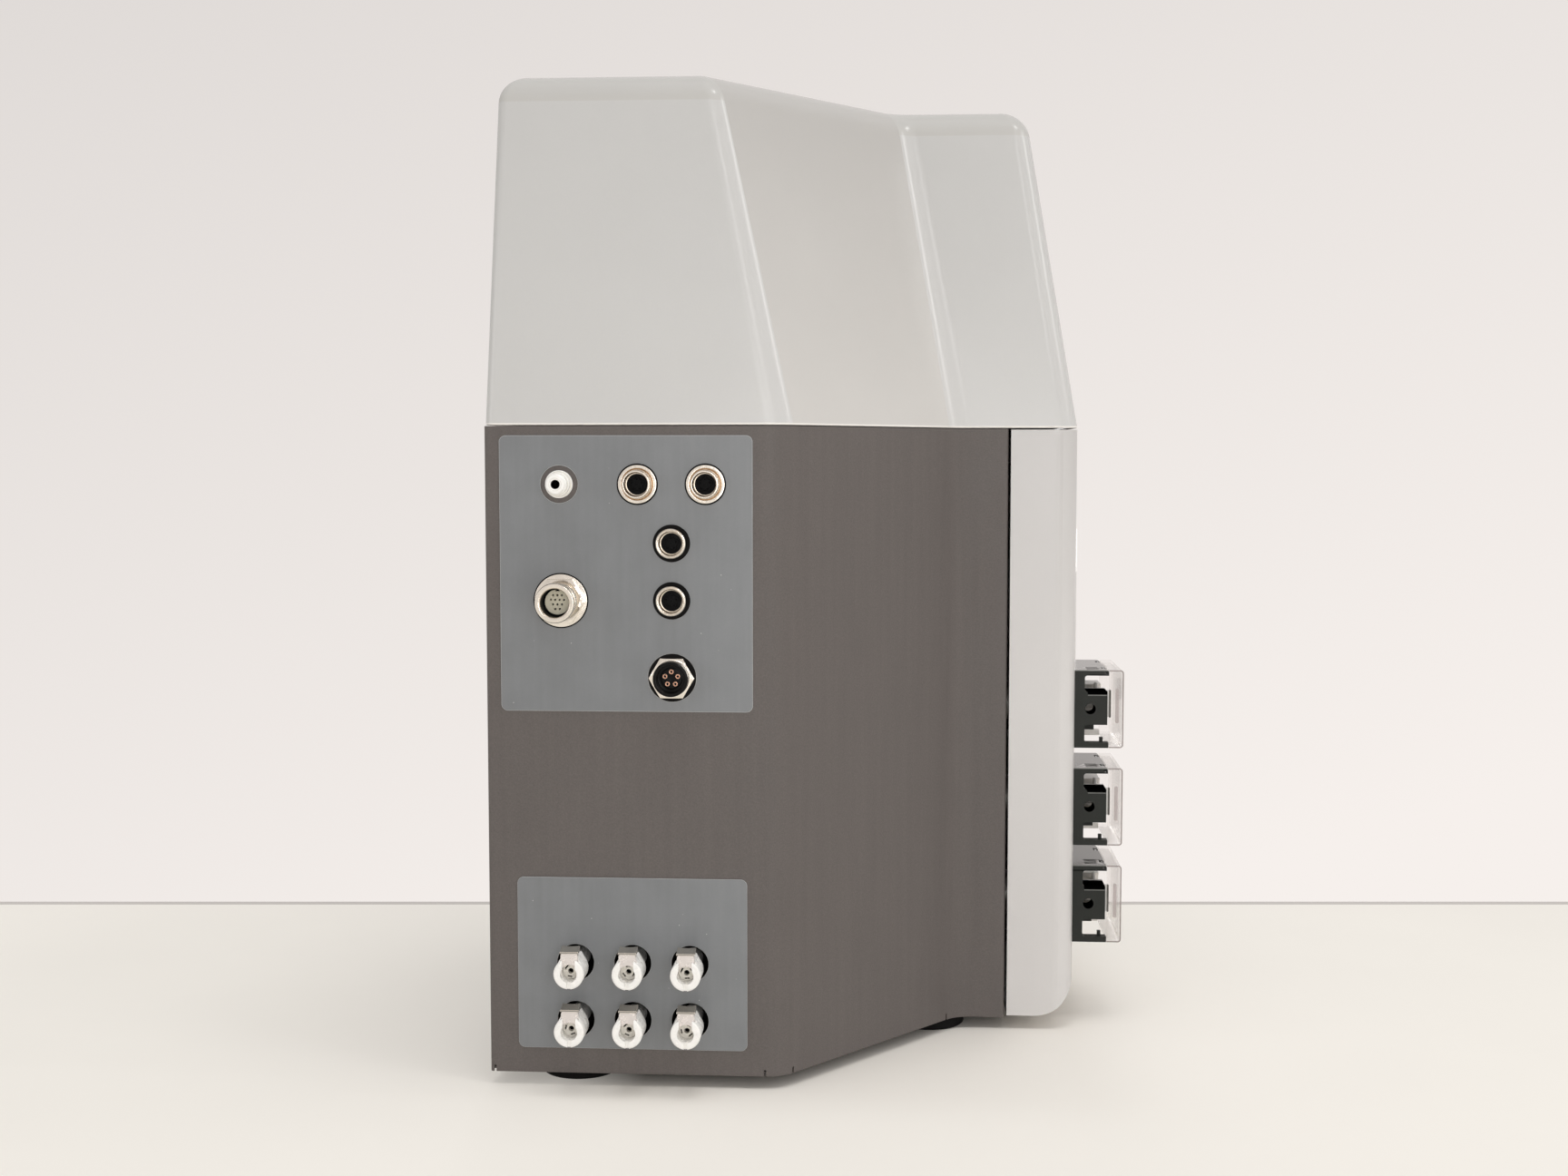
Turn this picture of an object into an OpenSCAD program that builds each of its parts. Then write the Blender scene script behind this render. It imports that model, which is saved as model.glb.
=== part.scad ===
// Bench bioreactor control cabinet: a bent sheet-metal box with a moulded hood and front
// fascia, a side panel of sensor and water ports, and three peristaltic pumps on the front.
// Millimetres. X runs from the rear to the front, Y from the port side across, Z up.

/* [Cabinet] */
// Width of the cabinet across its sides
cabinet_w = 380; // [310:1:480]
// Length of the wide rear part, up to the first bend
rear_l = 202.9; // [190:0.1:240]
// Length along the cabinet that the slanted face takes
slant_l = 123.4; // [100:0.1:170]
// Depth of the vessel bay, from the wide side in to the narrow side
bay_d = 149.2; // [115:0.1:185]
// Length of the narrow side from the second bend to its front edge
nose_l = 36.7; // [28:0.1:60]
// Height of the sheet-metal panels
panel_h = 447.2; // [370:0.1:560]
// Thickness of the sheet metal
sheet_t = 1.5; // [1:0.1:2.5]
// Outer radius of the two side bends
bend_r = 24.7; // [10:1:30]
// Outer radius of the bends at the edges
edge_r = 2.2; // [1.8:0.1:3]
// Width of the flanges turned in at the edges
flange_w = 14; // [10:0.5:20]
// Width of the relief notches in the bottom edge
notch_w = 1.6; // [1:0.1:3]
// Height of the relief notches
notch_h = 4.5; // [2:0.1:6]

/* [Feet] */
// Radius of a rubber foot
foot_r = 28; // [15:0.5:32]
// Height of a foot, which is the gap under the cabinet
foot_h = 9; // [6:0.5:20]
// How far the rear feet stand in from the rear face
foot_rear_in = 57; // [30:0.5:70]
// How far the feet stand in from the sides
foot_side_in = 39.3; // [26:0.1:50]
// How far the front feet stand behind the front edge of the side panel
foot_front_in = 58; // [36:0.5:64]
// How far the front foot beside the bay stands in from the narrow side
foot_bay_in = 19.5; // [14:0.5:40]
// Radius of a foot's mounting boss
foot_boss_r = 8; // [4:0.5:12]

/* [Hood] */
// Height of the hood above the seam
hood_h = 237.8; // [190:0.1:290]
// Gap between the panels and the hood
seam_gap = 0.6; // [0.3:0.1:0.9]
// Wall of the mouldings
mould_t = 3.5; // [2.5:0.1:5]
// How far the rear face leans forward at the top
lean_rear = 10; // [0:0.5:20]
// How far the wide side leans in at the top
lean_wide = 10; // [0:0.5:20]
// How far the slanted face leans in at the top
lean_slant = 44; // [20:0.5:60]
// How far the narrow side leans in at the top
lean_narrow = 16; // [10:0.5:30]
// How far the front face leans back at the top
lean_front = 40; // [20:0.5:60]
// Radius of the fillet round the top
top_r = 19; // [12:0.5:24]
// Radius of the upright edges at the front
corner_r = 16; // [10:0.5:22]
// Radius of the upright edges at the rear
rear_corner_r = 7; // [4:0.5:12]

/* [Fascia] */
// Depth of the fascia from front to back
fascia_d = 50.3; // [40:0.1:70]
// Gap between the side panels and the fascia
fascia_gap = 1.8; // [1:0.1:3]
// Radius of the fascia's bottom front corner
toe_r = 30; // [15:0.5:36]
// Height of the fascia's bottom edge above the panel's
toe_lift = 1.6; // [0:0.1:5]
// Radius of the screw bosses inside the fascia
boss_r = 4; // [3:0.5:6]

/* [Port plates] */
// Thickness of the two printed plates
plate_t = 0.8; // [0.5:0.1:1.5]
// Corner radius of the plates
plate_r = 4.5; // [2:0.5:8]
// Width of the upper plate
upper_w = 172.9; // [165:0.1:182]
// Height of the upper plate
upper_h = 188; // [185:0.1:200]
// How far the upper plate stands in from the rear face
upper_in = 10.3; // [5:0.1:14]
// How far the upper plate stands below the seam
upper_down = 6.4; // [4:0.1:20]
// Width of the lower plate
lower_w = 158.9; // [140:0.1:165]
// Height of the lower plate
lower_h = 119.7; // [100:0.1:130]
// How far the lower plate stands in from the rear face
lower_in = 20.2; // [10:0.1:26]
// How far the lower plate stands above the panel's bottom edge
lower_up = 17.8; // [12:0.1:30]

/* [Sensor, motor and heater ports] */
// Sparge gas port: across and down from the upper plate's corner
sparge_at = [41.1, 33]; // [0:0.1:200]
// Dissolved oxygen socket: across and down
do_at = [94.6, 33]; // [0:0.1:200]
// Acidity socket: across and down
ph_at = [140.9, 33]; // [0:0.1:200]
// Foam and level socket: across and down
foam_at = [117.7, 73]; // [0:0.1:200]
// Temperature socket: across and down
temperature_at = [117.7, 112]; // [0:0.1:200]
// Stirrer motor socket: across and down
motor_at = [41.8, 112.2]; // [0:0.1:200]
// Heater socket: across and down
heater_at = [117.8, 164.6]; // [0:0.1:200]
// Radius of the threaded stem of a sensor socket, behind the panel
stem_r = 7.9; // [6:0.1:8.5]
// Radius of the sockets' ring bore
socket_bore_r = 7.7; // [6.5:0.1:8]
// Outer radius of a flanged sensor socket's washer
washer_r = 13.15; // [11:0.05:14]
// Radius of a flanged sensor socket's ring
flanged_ring_r = 9.45; // [8.8:0.05:11]
// How far a flanged sensor socket stands out
flanged_proud = 9; // [7:0.5:14]
// Radius of a plain sensor socket's ring
plain_ring_r = 10.25; // [9:0.05:11.5]
// How far a plain sensor socket stands out
plain_proud = 7; // [6:0.5:12]
// Height of a sensor socket's insert
insert_h = 3; // [2:0.1:3.6]
// Radius of the motor socket's barrel
motor_r = 12.5; // [11:0.1:14]
// How far the motor socket stands out
motor_proud = 26; // [20:0.5:32]
// Radius of the motor socket's bore
motor_bore_r = 9.75; // [9:0.05:10.5]
// Size across the flats of the motor socket's nut
motor_nut_af = 31; // [29:0.5:36]
// Radius of the heater socket's barrel
heater_r = 12; // [10:0.1:12.5]
// How far the heater socket stands out
heater_proud = 12; // [10:0.5:16]
// Radius of the heater socket's bore
heater_bore_r = 9.4; // [8.5:0.1:10]
// Size across the flats of the heater socket's nut
heater_nut_af = 27; // [25.5:0.5:32]
// Radius of the sparge fitting's flange
sparge_r = 9.45; // [8.5:0.05:11]
// How far the sparge fitting stands out
sparge_proud = 16; // [14:0.5:22]
// Radius of the sparge fitting's bore
sparge_bore_r = 3.1; // [2:0.05:4]

/* [Water couplings] */
// Radius of the clearance holes for the couplings
coupling_hole_r = 12.7; // [12:0.1:14]
// Distance between the coupling columns
coupling_pitch_x = 39.65; // [34:0.05:42]
// Distance between the coupling rows
coupling_pitch_z = 40; // [34:0.5:46]
// First coupling hole: across and up from the lower plate's corner
coupling_at = [40.1, 20.3]; // [18:0.1:60]
// How far the couplings hang below the middle of their holes
coupling_sag = 0.7; // [0:0.1:1.5]
// Radius of a coupling's barrel
coupling_r = 10.3; // [9.8:0.1:11]
// How far a coupling stands out of the panel
coupling_proud = 30; // [27:0.5:36]
// Radius of the socket in a coupling
coupling_bore_r = 5.7; // [5:0.1:7]
// Radius of the water way in a coupling
water_r = 2.6; // [1.5:0.1:3.5]
// Distance of the bracket that carries the couplings, behind the panel
bracket_in = 20; // [14:0.5:30]
// How far a latch is pressed
latch_travel = 2; // [1:0.1:2.4]
// Thickness of a latch
latch_t = 1.2; // [0.8:0.1:1.6]
// Width of a latch
latch_w = 11.8; // [10:0.1:12.5]

/* [Pumps] */
// Width of a pump
pump_w = 75; // [66:0.5:90]
// Height of a pump
pump_h = 59.6; // [50:0.1:72]
// Gap between one pump and the next
pump_gap = 15.5; // [15:0.1:25]
// Height of the lowest pump's middle above the panel's bottom edge
pump_low = 84.6; // [80:0.1:110]
// How far the pumps stand in from the narrow side
pump_in = 18; // [8:0.5:24]
// Thickness of a pump's back plate
pump_back = 8; // [6:0.5:10]
// How far a pump's arms reach from its back
arm_reach = 26.2; // [25:0.1:34]
// Thickness of a pump's arms, with the cover's hinge in the upper one
arm_t = 4.2; // [3:0.1:5]
// Height of the two tube blocks of a pump
block_h = 25.4; // [22:0.1:30]
// Radius of the tube holes
tube_r = 4; // [2.5:0.1:5]
// Wall of the clear cover
cover_t = 2; // [1.5:0.1:3]
// How far the cover's front stands from the pump's back
cover_reach = 37.4; // [36:0.1:46]
// Radius of the cover's hinge pin
hinge_pin_r = 1; // [0.7:0.05:1.2]
// Radius of the circle that the rollers' axes lie on
roller_ring_r = 10.8; // [9:0.1:11.5]
// Radius of a roller
roller_r = 4.5; // [3.5:0.1:4.8]
// Radius of a roller's pin
roller_pin_r = 1.5; // [1:0.1:2]
// Length of a roller
roller_l = 8.4; // [6:0.1:9]
// Radius of the rotor's shaft
shaft_r = 4; // [3:0.1:5]
// Room that a squeezed tube has between the rollers and the track
tube_squeeze = 2.4; // [1.5:0.1:3]

/* [Screen, rotameter and mains] */
// Height of the touch screen's bezel
screen_h = 118; // [100:1:135]
// Margin left beside the bezel on the hood's front face
screen_margin = 20; // [19:1:30]
// How far the bezel stands out of the hood
bezel_proud = 1.5; // [0.8:0.1:2]
// Height of the rotameter block
rotameter_h = 150; // [120:1:180]
// Width of the rotameter block
rotameter_w = 25; // [22:0.5:32]
// How far the rotameter stands out of the fascia
rotameter_proud = 14; // [13:0.5:16]
// How far the rotameter stands in from the far side
rotameter_in = 55; // [30:1:80]
// Radius of the rotameter's bore
rotameter_bore_r = 4; // [3:0.1:4.5]
// Radius of the rotameter's ball
ball_r = 3.2; // [2:0.1:3.8]
// Radius of the rotameter's knob
knob_r = 8.5; // [6:0.5:11]
// Height of the mains inlet module
inlet_h = 66; // [60:0.5:75]
// Width of the mains inlet module
inlet_w = 30; // [28:0.5:36]
// How far the inlet module's flange stands out of the rear
inlet_proud = 2.5; // [2:0.1:4]
// Angle that the power switch rocks through
rock_angle = 16; // [10:1:20]

/* [Hidden] */

$fn = 64;
slip = 0.05;        // radial clearance of a shaft or pin in its bore
play = 0.3;         // gap between pieces that move past each other
snug = 0.1;         // gap round a piece that sits still in another
cut = 1;            // how far a cutting tool runs past what it cuts

side_front = rear_l + slant_l + nose_l;                 // front edge of the side panels
fascia_x = side_front + fascia_gap;                     // back of the fascia
front_x = fascia_x + fascia_d;                          // front of the fascia and the hood
panel_z = foot_h;                                       // bottom edge of the panels
seam_z = panel_z + panel_h;                             // top edge of the panels
base_z = panel_z + sheet_t;                             // underside of the base plate
floor_z = base_z + sheet_t;                             // top of the base plate
mid_x = (front_x + cover_reach - inlet_proud) / 2;
mid_y = (cabinet_w - coupling_proud) / 2;

// The plan of the cabinet, counter-clockwise from the rear corner on the port side
plan = [
    [0, 0], [rear_l, 0], [rear_l + slant_l, bay_d], [front_x, bay_d],
    [front_x, cabinet_w], [0, cabinet_w]
];
slant_angle = atan2(bay_d, slant_l);

upper_corner = [upper_in, seam_z - upper_down];
lower_corner = [lower_in, panel_z + lower_up];

function cross2(a, b) = a[0] * b[1] - a[1] * b[0];
function unit(v) = v / norm(v);
function left_of(v) = [-v[1], v[0]];
function turned(v, a) = [v[0] * cos(a) - v[1] * sin(a), v[0] * sin(a) + v[1] * cos(a)];
function meet(p, d, q, e) = p + d * (cross2(q - p, e) / cross2(d, e));
function turn_angle(a, b) = atan2(cross2(a, b), a * b);

// The arc of radius r that rounds the corner at b between a and c, in n steps
function corner_arc(a, b, c, r, n) =
    let (d = unit(b - a), e = unit(c - b), phi = turn_angle(d, e), s = sign(phi),
         start = b - d * r * tan(abs(phi) / 2), centre = start + left_of(d) * r * s)
    [for (k = [0:n]) centre + turned(start - centre, phi * k / n)];

// A closed outline with every corner rounded
function rounded(points, radii, n) =
    let (m = len(points))
    [for (i = [0:m - 1])
        each corner_arc(points[(i + m - 1) % m], points[i], points[(i + 1) % m], radii[i], n)];

// A closed outline whose edge i, from point i to the next, has moved in by inset i
function moved_in(points, insets) =
    let (m = len(points))
    [for (i = [0:m - 1])
        let (a = points[(i + m - 1) % m], b = points[i], c = points[(i + 1) % m],
             d = unit(b - a), e = unit(c - b))
        meet(b + left_of(d) * insets[(i + m - 1) % m], d, b + left_of(e) * insets[i], e)];

// An open path moved to its left by t
function beside(path, t) =
    let (m = len(path))
    [for (i = [0:m - 1])
        i == 0 ? path[0] + left_of(unit(path[1] - path[0])) * t
        : i == m - 1 ? path[i] + left_of(unit(path[i] - path[i - 1])) * t
        : let (d = unit(path[i] - path[i - 1]), e = unit(path[i + 1] - path[i]))
          meet(path[i] + left_of(d) * t, d, path[i] + left_of(e) * t, e)];

// An open path with its inner corners rounded
function eased(path, radii, n) = [
    path[0],
    for (i = [1:len(path) - 2]) each corner_arc(path[i - 1], path[i], path[i + 1], radii[i - 1], n),
    path[len(path) - 1]
];
function reversed(list) = [for (i = [len(list) - 1:-1:0]) list[i]];

// A bent sheet's section: the outer path with bends of the given outer radii, and the
// same path one thickness further in
function sheet_section(path, radii, signs, n) = concat(
    eased(path, radii, n),
    reversed(eased(beside(path, sheet_t), [for (i = [0:len(radii) - 1]) radii[i] - signs[i] * sheet_t], n))
);

module stand() translate([-mid_x, -mid_y, 0]) children();

// Puts children on the port side at [x, z], with their Z pointing out of the side
module on_side(at) translate([at[0], 0, at[1]]) rotate([90, 0, 0]) children();

function upper_port(at) = [upper_corner[0] + at[0], upper_corner[1] - at[1]];
function coupling_hole(i, j) = [
    lower_corner[0] + coupling_at[0] + i * coupling_pitch_x,
    lower_corner[1] + coupling_at[1] + j * coupling_pitch_z
];
function coupling_axis(i, j) = coupling_hole(i, j) - [0, coupling_sag];

module rounded_rect(w, h, r) {
    translate([r, 0]) square([w - 2 * r, h]);
    translate([0, r]) square([w, h - 2 * r]);
    for (x = [r, w - r], y = [r, h - r]) translate([x, y]) circle(r);
}

module hexagon(af) circle(r = af / 2 / cos(30), $fn = 6);

// ---- Sheet metal ----

flange_relief = edge_r + 1;     // corner of a flange left off beside an upright bend
flange_bend_in = bend_r * tan(slant_angle / 2);
slant_dir = [cos(slant_angle), sin(slant_angle)];
slant_len = norm([slant_l, bay_d]);

// A flange turned in along the bottom edge, from a to b, with mitred ends
module bottom_flange(a, b) {
    d = unit(b - a);
    n = left_of(d) * flange_w;
    m = d * flange_w * 0.45;
    translate([0, 0, panel_z]) linear_extrude(sheet_t) polygon([a, b, b + n - m, a + n + m]);
}

module notch(p, d) {
    translate([p[0], p[1], panel_z]) rotate([0, 0, atan2(d[1], d[0])])
        translate([-notch_w / 2, -cut, -cut]) cube([notch_w, sheet_t + 2 * cut, notch_h + cut]);
}

// Clearance holes in the panel for everything that passes through it
module port_holes() {
    for (at = [do_at, ph_at, foam_at, temperature_at])
        on_side(upper_port(at)) translate([0, 0, -sheet_t - cut]) cylinder(r = stem_r + play, h = sheet_t + 2 * cut);
    on_side(upper_port(sparge_at)) translate([0, 0, -sheet_t - cut]) cylinder(r = sparge_stem_r + play, h = sheet_t + 2 * cut);
    on_side(upper_port(motor_at)) translate([0, 0, -sheet_t - cut]) cylinder(r = motor_r + play, h = sheet_t + 2 * cut);
    on_side(upper_port(heater_at)) translate([0, 0, -sheet_t - cut]) cylinder(r = heater_r + play, h = sheet_t + 2 * cut);
    for (i = [0:2], j = [0:1])
        on_side(coupling_hole(i, j)) translate([0, 0, -sheet_t - cut]) cylinder(r = coupling_hole_r, h = sheet_t + 2 * cut);
}

module left_side_panel() stand() color([0.36, 0.34, 0.33]) {
    path = [
        [0, flange_w], [0, 0], [rear_l, 0], [rear_l + slant_l, bay_d],
        [side_front, bay_d], [side_front, bay_d + flange_w]
    ];
    bends = [edge_r, bend_r, bend_r, edge_r];
    a1 = [rear_l - flange_bend_in, 0];
    b0 = [rear_l, 0] + slant_dir * flange_bend_in;
    b1 = [rear_l, 0] + slant_dir * (slant_len - flange_bend_in);
    c0 = [rear_l + slant_l + flange_bend_in, bay_d];
    difference() {
        union() {
            translate([0, 0, panel_z]) linear_extrude(panel_h)
                polygon(sheet_section(path, bends, [1, 1, -1, 1], 6));
            bottom_flange([flange_relief, 0], a1);
            bottom_flange(b0, b1);
            bottom_flange(c0, [side_front - flange_relief, bay_d]);
        }
        notch([flange_relief, 0], [1, 0]);
        notch(a1, [1, 0]);
        notch(b0, slant_dir);
        notch(b1, slant_dir);
        port_holes();
    }
}

module right_side_panel() stand() color([0.36, 0.34, 0.33]) {
    path = [
        [side_front, cabinet_w - flange_w], [side_front, cabinet_w], [0, cabinet_w], [0, cabinet_w - flange_w]
    ];
    difference() {
        union() {
            translate([0, 0, panel_z]) linear_extrude(panel_h)
                polygon(sheet_section(path, [edge_r, edge_r], [1, 1], 6));
            bottom_flange([side_front - flange_relief, cabinet_w], [flange_relief, cabinet_w]);
        }
        for (x = [flange_relief, side_front - flange_relief])
            translate([x - notch_w / 2, cabinet_w - sheet_t - cut, panel_z - cut])
                cube([notch_w, sheet_t + 2 * cut, notch_h + cut]);
    }
}

inlet_y = cabinet_w - 95;               // middle of the mains inlet
inlet_z = floor_z + 34;                 // its lower edge
vent_rows = 12;
vent_pitch = 9;
vent_l = 56;
vent_t = 3.6;
vent_z = seam_z - 60 - vent_rows * vent_pitch;

module vent_slots() {
    for (y = [cabinet_w * 0.28, cabinet_w * 0.72], k = [0:vent_rows - 1])
        translate([-cut, y - vent_l / 2, vent_z + k * vent_pitch]) rotate([90, 0, 90])
            linear_extrude(2 * sheet_t + 2 * cut) rounded_rect(vent_l, vent_t, vent_t / 2 - 0.01);
}

module rear_panel() stand() color([0.36, 0.34, 0.33]) difference() {
    // Its sides stay clear of the inner radius of the panels' edge bends
    translate([sheet_t, edge_r + snug, floor_z])
        cube([sheet_t, cabinet_w - 2 * edge_r - 2 * snug, seam_z - floor_z - play]);
    vent_slots();
    translate([0, inlet_y - inlet_body_w / 2 - snug, inlet_z + inlet_rim - snug])
        cube([2 * sheet_t + cut, inlet_body_w + 2 * snug, inlet_h - 2 * inlet_rim + 2 * snug]);
}

// Corners of the base plate: the plan without the fascia, one sheet and a gap in
base_plan = moved_in([
    [0, 0], [rear_l, 0], [rear_l + slant_l, bay_d], [side_front, bay_d],
    [side_front, cabinet_w], [0, cabinet_w]
], [for (i = [0:5]) sheet_t + play]);

module base_plate() stand() color([0.3, 0.3, 0.3])
    translate([0, 0, base_z]) linear_extrude(sheet_t) polygon(rounded(base_plan, [1, bend_r, bend_r, 1, 1, 1], 6));

foot_places = [
    [foot_rear_in, foot_side_in], [foot_rear_in, cabinet_w - foot_side_in],
    [side_front - foot_front_in, bay_d + foot_bay_in], [side_front - foot_front_in, cabinet_w - foot_side_in]
];

// Each foot is a disc with a screw recess under it and a boss that meets the base plate
module feet() stand() color([0.06, 0.06, 0.06])
    for (p = foot_places) translate([p[0], p[1], 0]) rotate_extrude() polygon([
        [0, foot_h - 5], [5, foot_h - 5], [5, 0], [foot_r - 1.5, 0], [foot_r, 1.5],
        [foot_r, foot_h], [foot_boss_r, foot_h], [foot_boss_r, base_z], [0, base_z]
    ]);

// ---- Hood ----

leans = [lean_wide, lean_slant, lean_narrow, lean_front, lean_wide, lean_rear];
plan_radii = [rear_corner_r, bend_r, bend_r, corner_r, corner_r, rear_corner_r];
arc_steps = 6;
fillet_steps = 6;

// One level of the hood: the outline at height h above the seam, with the leans, a
// further inset all round, and the wall taken off where it is the inner skin
function hood_level(h, inset, wall) =
    let (grow = inset / top_r)
    [for (p = rounded(
        moved_in(plan, [for (l = leans) l * h / hood_h + inset + wall]),
        [for (i = [0:5]) i == 2 ? plan_radii[i] + inset + wall
            : max(1, (plan_radii[i] - wall) * (1 - grow))],
        arc_steps)) [p[0], p[1], seam_z + seam_gap + h]];

// The levels of one skin, from the open bottom to the rim of the top
function hood_skin(wall, steps) = concat(
    [hood_level(0, 0, wall)],
    [for (k = [0:steps])
        let (phi = 90 * k / steps, r = top_r - wall)
        hood_level(hood_h - top_r + r * sin(phi), r * (1 - cos(phi)), wall)]
);

// A closed shell from an outer and an inner stack of outlines, joined along the bottom
module shell(outer, inner) {
    n = len(outer[0]);
    a = len(outer);
    b = len(inner);
    function quad(i, j, flip) =
        let (k = (j + 1) % n, p = i * n + j, q = i * n + k, r = q + n, s = p + n)
        flip ? [[p, r, q], [p, s, r]] : [[p, q, r], [p, r, s]];
    faces = concat(
        [for (i = [0:a - 2], j = [0:n - 1]) each quad(i, j, true)],
        [for (i = [a:a + b - 2], j = [0:n - 1]) each quad(i, j, false)],
        [for (j = [0:n - 1]) let (k = (j + 1) % n) each [[j, k, a * n + k], [j, a * n + k, a * n + j]]],
        [[for (j = [n - 1:-1:0]) (a - 1) * n + j]],
        [[for (j = [0:n - 1]) (a + b - 1) * n + j]]
    );
    polyhedron(points = concat([for (level = outer) each level], [for (level = inner) each level]), faces = faces);
}

front_tilt = atan(lean_front / hood_h);
screen_y0 = bay_d + lean_narrow + screen_margin;
screen_w = cabinet_w - lean_wide - screen_margin - screen_y0;
screen_z = (hood_h - screen_h) / 2 - 6;
screen_depth = 24;
bezel_rim = 5;

// Puts children on the hood's front face: X out of the face, Z up along it
module on_hood_front() translate([front_x, 0, seam_z + seam_gap]) rotate([0, -front_tilt, 0]) children();

lug_l = 24;
lug_h = 14;

// Lugs inside the hood that stand down behind the panels and carry its screws
module hood_lugs() {
    z = seam_z - lug_h;
    h = lug_h + seam_gap + 8;
    for (x = [60, rear_l - 60]) translate([x - lug_l / 2, sheet_t, z]) cube([lug_l, mould_t, h]);
    for (x = [60, side_front - 60]) translate([x - lug_l / 2, cabinet_w - sheet_t - mould_t, z]) cube([lug_l, mould_t, h]);
    for (y = [70, cabinet_w - 70]) translate([2 * sheet_t, y - lug_l / 2, z]) cube([mould_t, lug_l, h]);
}

module hood() stand() color([0.78, 0.77, 0.76]) difference() {
    union() {
        shell(hood_skin(0, fillet_steps), hood_skin(mould_t, 3));
        hood_lugs();
    }
    on_hood_front() translate([-mould_t - 2 * cut, screen_y0 + bezel_rim, screen_z + bezel_rim])
        cube([mould_t + 4 * cut, screen_w - 2 * bezel_rim, screen_h - 2 * bezel_rim]);
}

module touch_screen() stand() color([0.1, 0.1, 0.11]) on_hood_front() {
    difference() {
        translate([0, screen_y0, screen_z]) cube([bezel_proud, screen_w, screen_h]);
        translate([bezel_proud - 0.6, screen_y0 + 10, screen_z + 10]) cube([cut, screen_w - 20, screen_h - 20]);
    }
    translate([-screen_depth, screen_y0 + bezel_rim + snug, screen_z + bezel_rim + snug])
        cube([screen_depth, screen_w - 2 * bezel_rim - 2 * snug, screen_h - 2 * bezel_rim - 2 * snug]);
}

// ---- Fascia ----

fascia_z = panel_z + toe_lift;
fascia_top = seam_z + seam_gap - 1.2;
boss_heights = [fascia_z + 60, (fascia_z + fascia_top) / 2, fascia_top - 30];

// The fascia's block, shrunk all round by w except at the back, where it runs on by w
module fascia_block(w) {
    r = corner_r - w;
    x0 = fascia_x - (w > 0 ? cut : 0);
    x1 = front_x - w;
    y0 = bay_d + w;
    y1 = cabinet_w - w;
    z0 = fascia_z + w;
    z1 = fascia_top - w;
    tr = toe_r - w;
    intersection() {
        translate([0, 0, z0]) linear_extrude(z1 - z0) {
            translate([x0, y0]) square([x1 - r - x0, y1 - y0]);
            translate([x0, y0 + r]) square([x1 - x0, y1 - y0 - 2 * r]);
            for (y = [y0 + r, y1 - r]) translate([x1 - r, y]) circle(r);
        }
        translate([0, y1, 0]) rotate([90, 0, 0]) linear_extrude(y1 - y0) {
            translate([x0, z0]) square([x1 - tr - x0, z1 - z0]);
            translate([x0, z0 + tr]) square([x1 - x0, z1 - z0 - tr]);
            translate([x1 - tr, z0 + tr]) circle(tr);
        }
    }
}

module front_fascia() stand() color([0.8, 0.79, 0.78]) difference() {
    union() {
        difference() {
            fascia_block(0);
            fascia_block(mould_t);
        }
        // Screw bosses that meet the side panels' front flanges
        for (y = [bay_d + flange_w - boss_r - 1, cabinet_w - flange_w + boss_r + 1], z = boss_heights)
            translate([side_front, y, z]) rotate([0, 90, 0]) cylinder(r = boss_r, h = front_x - side_front - mould_t / 2);
    }
    for (n = [1:3]) translate([front_x - mould_t - cut, pump_y, pump_z(n)])
        rotate([0, 90, 0]) cylinder(r = shaft_r + 1, h = mould_t + 2 * cut);
}

// ---- Port plates ----

module plate_hole(at, r) translate([at[0], at[1], -cut]) cylinder(r = r, h = plate_t + 2 * cut);

module upper_port_plate() stand() color([0.47, 0.49, 0.5]) on_side([upper_in, seam_z - upper_down - upper_h])
    difference() {
        linear_extrude(plate_t) rounded_rect(upper_w, upper_h, plate_r);
        plate_hole([sparge_at[0], upper_h - sparge_at[1]], sparge_r + 3.35);
        for (at = [do_at, ph_at]) plate_hole([at[0], upper_h - at[1]], washer_r + 0.6);
        for (at = [foam_at, temperature_at]) plate_hole([at[0], upper_h - at[1]], plain_ring_r + 2.25);
        plate_hole([motor_at[0], upper_h - motor_at[1]], motor_nut_af / 2 / cos(30) + 0.6);
        plate_hole([heater_at[0], upper_h - heater_at[1]], heater_nut_af / 2 / cos(30) + 0.9);
    }

module lower_port_plate() stand() color([0.47, 0.49, 0.5]) on_side(lower_corner) difference() {
    linear_extrude(plate_t) rounded_rect(lower_w, lower_h, plate_r);
    for (i = [0:2], j = [0:1])
        plate_hole([coupling_at[0] + i * coupling_pitch_x, coupling_at[1] + j * coupling_pitch_z], coupling_hole_r + 0.2);
}

// ---- Electrical and gas ports ----

sparge_stem_r = 6;
socket_seat = -1.5;     // height of the shoulder that an insert rests on
socket_floor = socket_seat + insert_h;
seat_bore_r = socket_bore_r - 0.6;      // narrower bore that the insert fills
stem_l = 16;            // how far a socket's stem reaches behind the panel

// A turned socket body: stem behind the panel, washer on it, ring with a chamfered mouth
module sensor_socket(flange_r, flange_t, ring_r, proud) rotate_extrude() polygon([
    [seat_bore_r - 1, -stem_l], [stem_r, -stem_l], [stem_r, 0], [flange_r, 0],
    [flange_r, flange_t - 0.4], [flange_r - 0.4, flange_t], [ring_r - 0.5, flange_t],
    [ring_r - 0.5, flange_t + 0.8], [ring_r, flange_t + 1.2], [ring_r, proud - 0.7],
    [ring_r - 0.7, proud], [socket_bore_r + 0.6, proud], [socket_bore_r, proud - 0.6],
    [socket_bore_r, socket_floor], [seat_bore_r, socket_floor],
    [seat_bore_r, socket_seat], [seat_bore_r - 1, socket_seat]
]);

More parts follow.
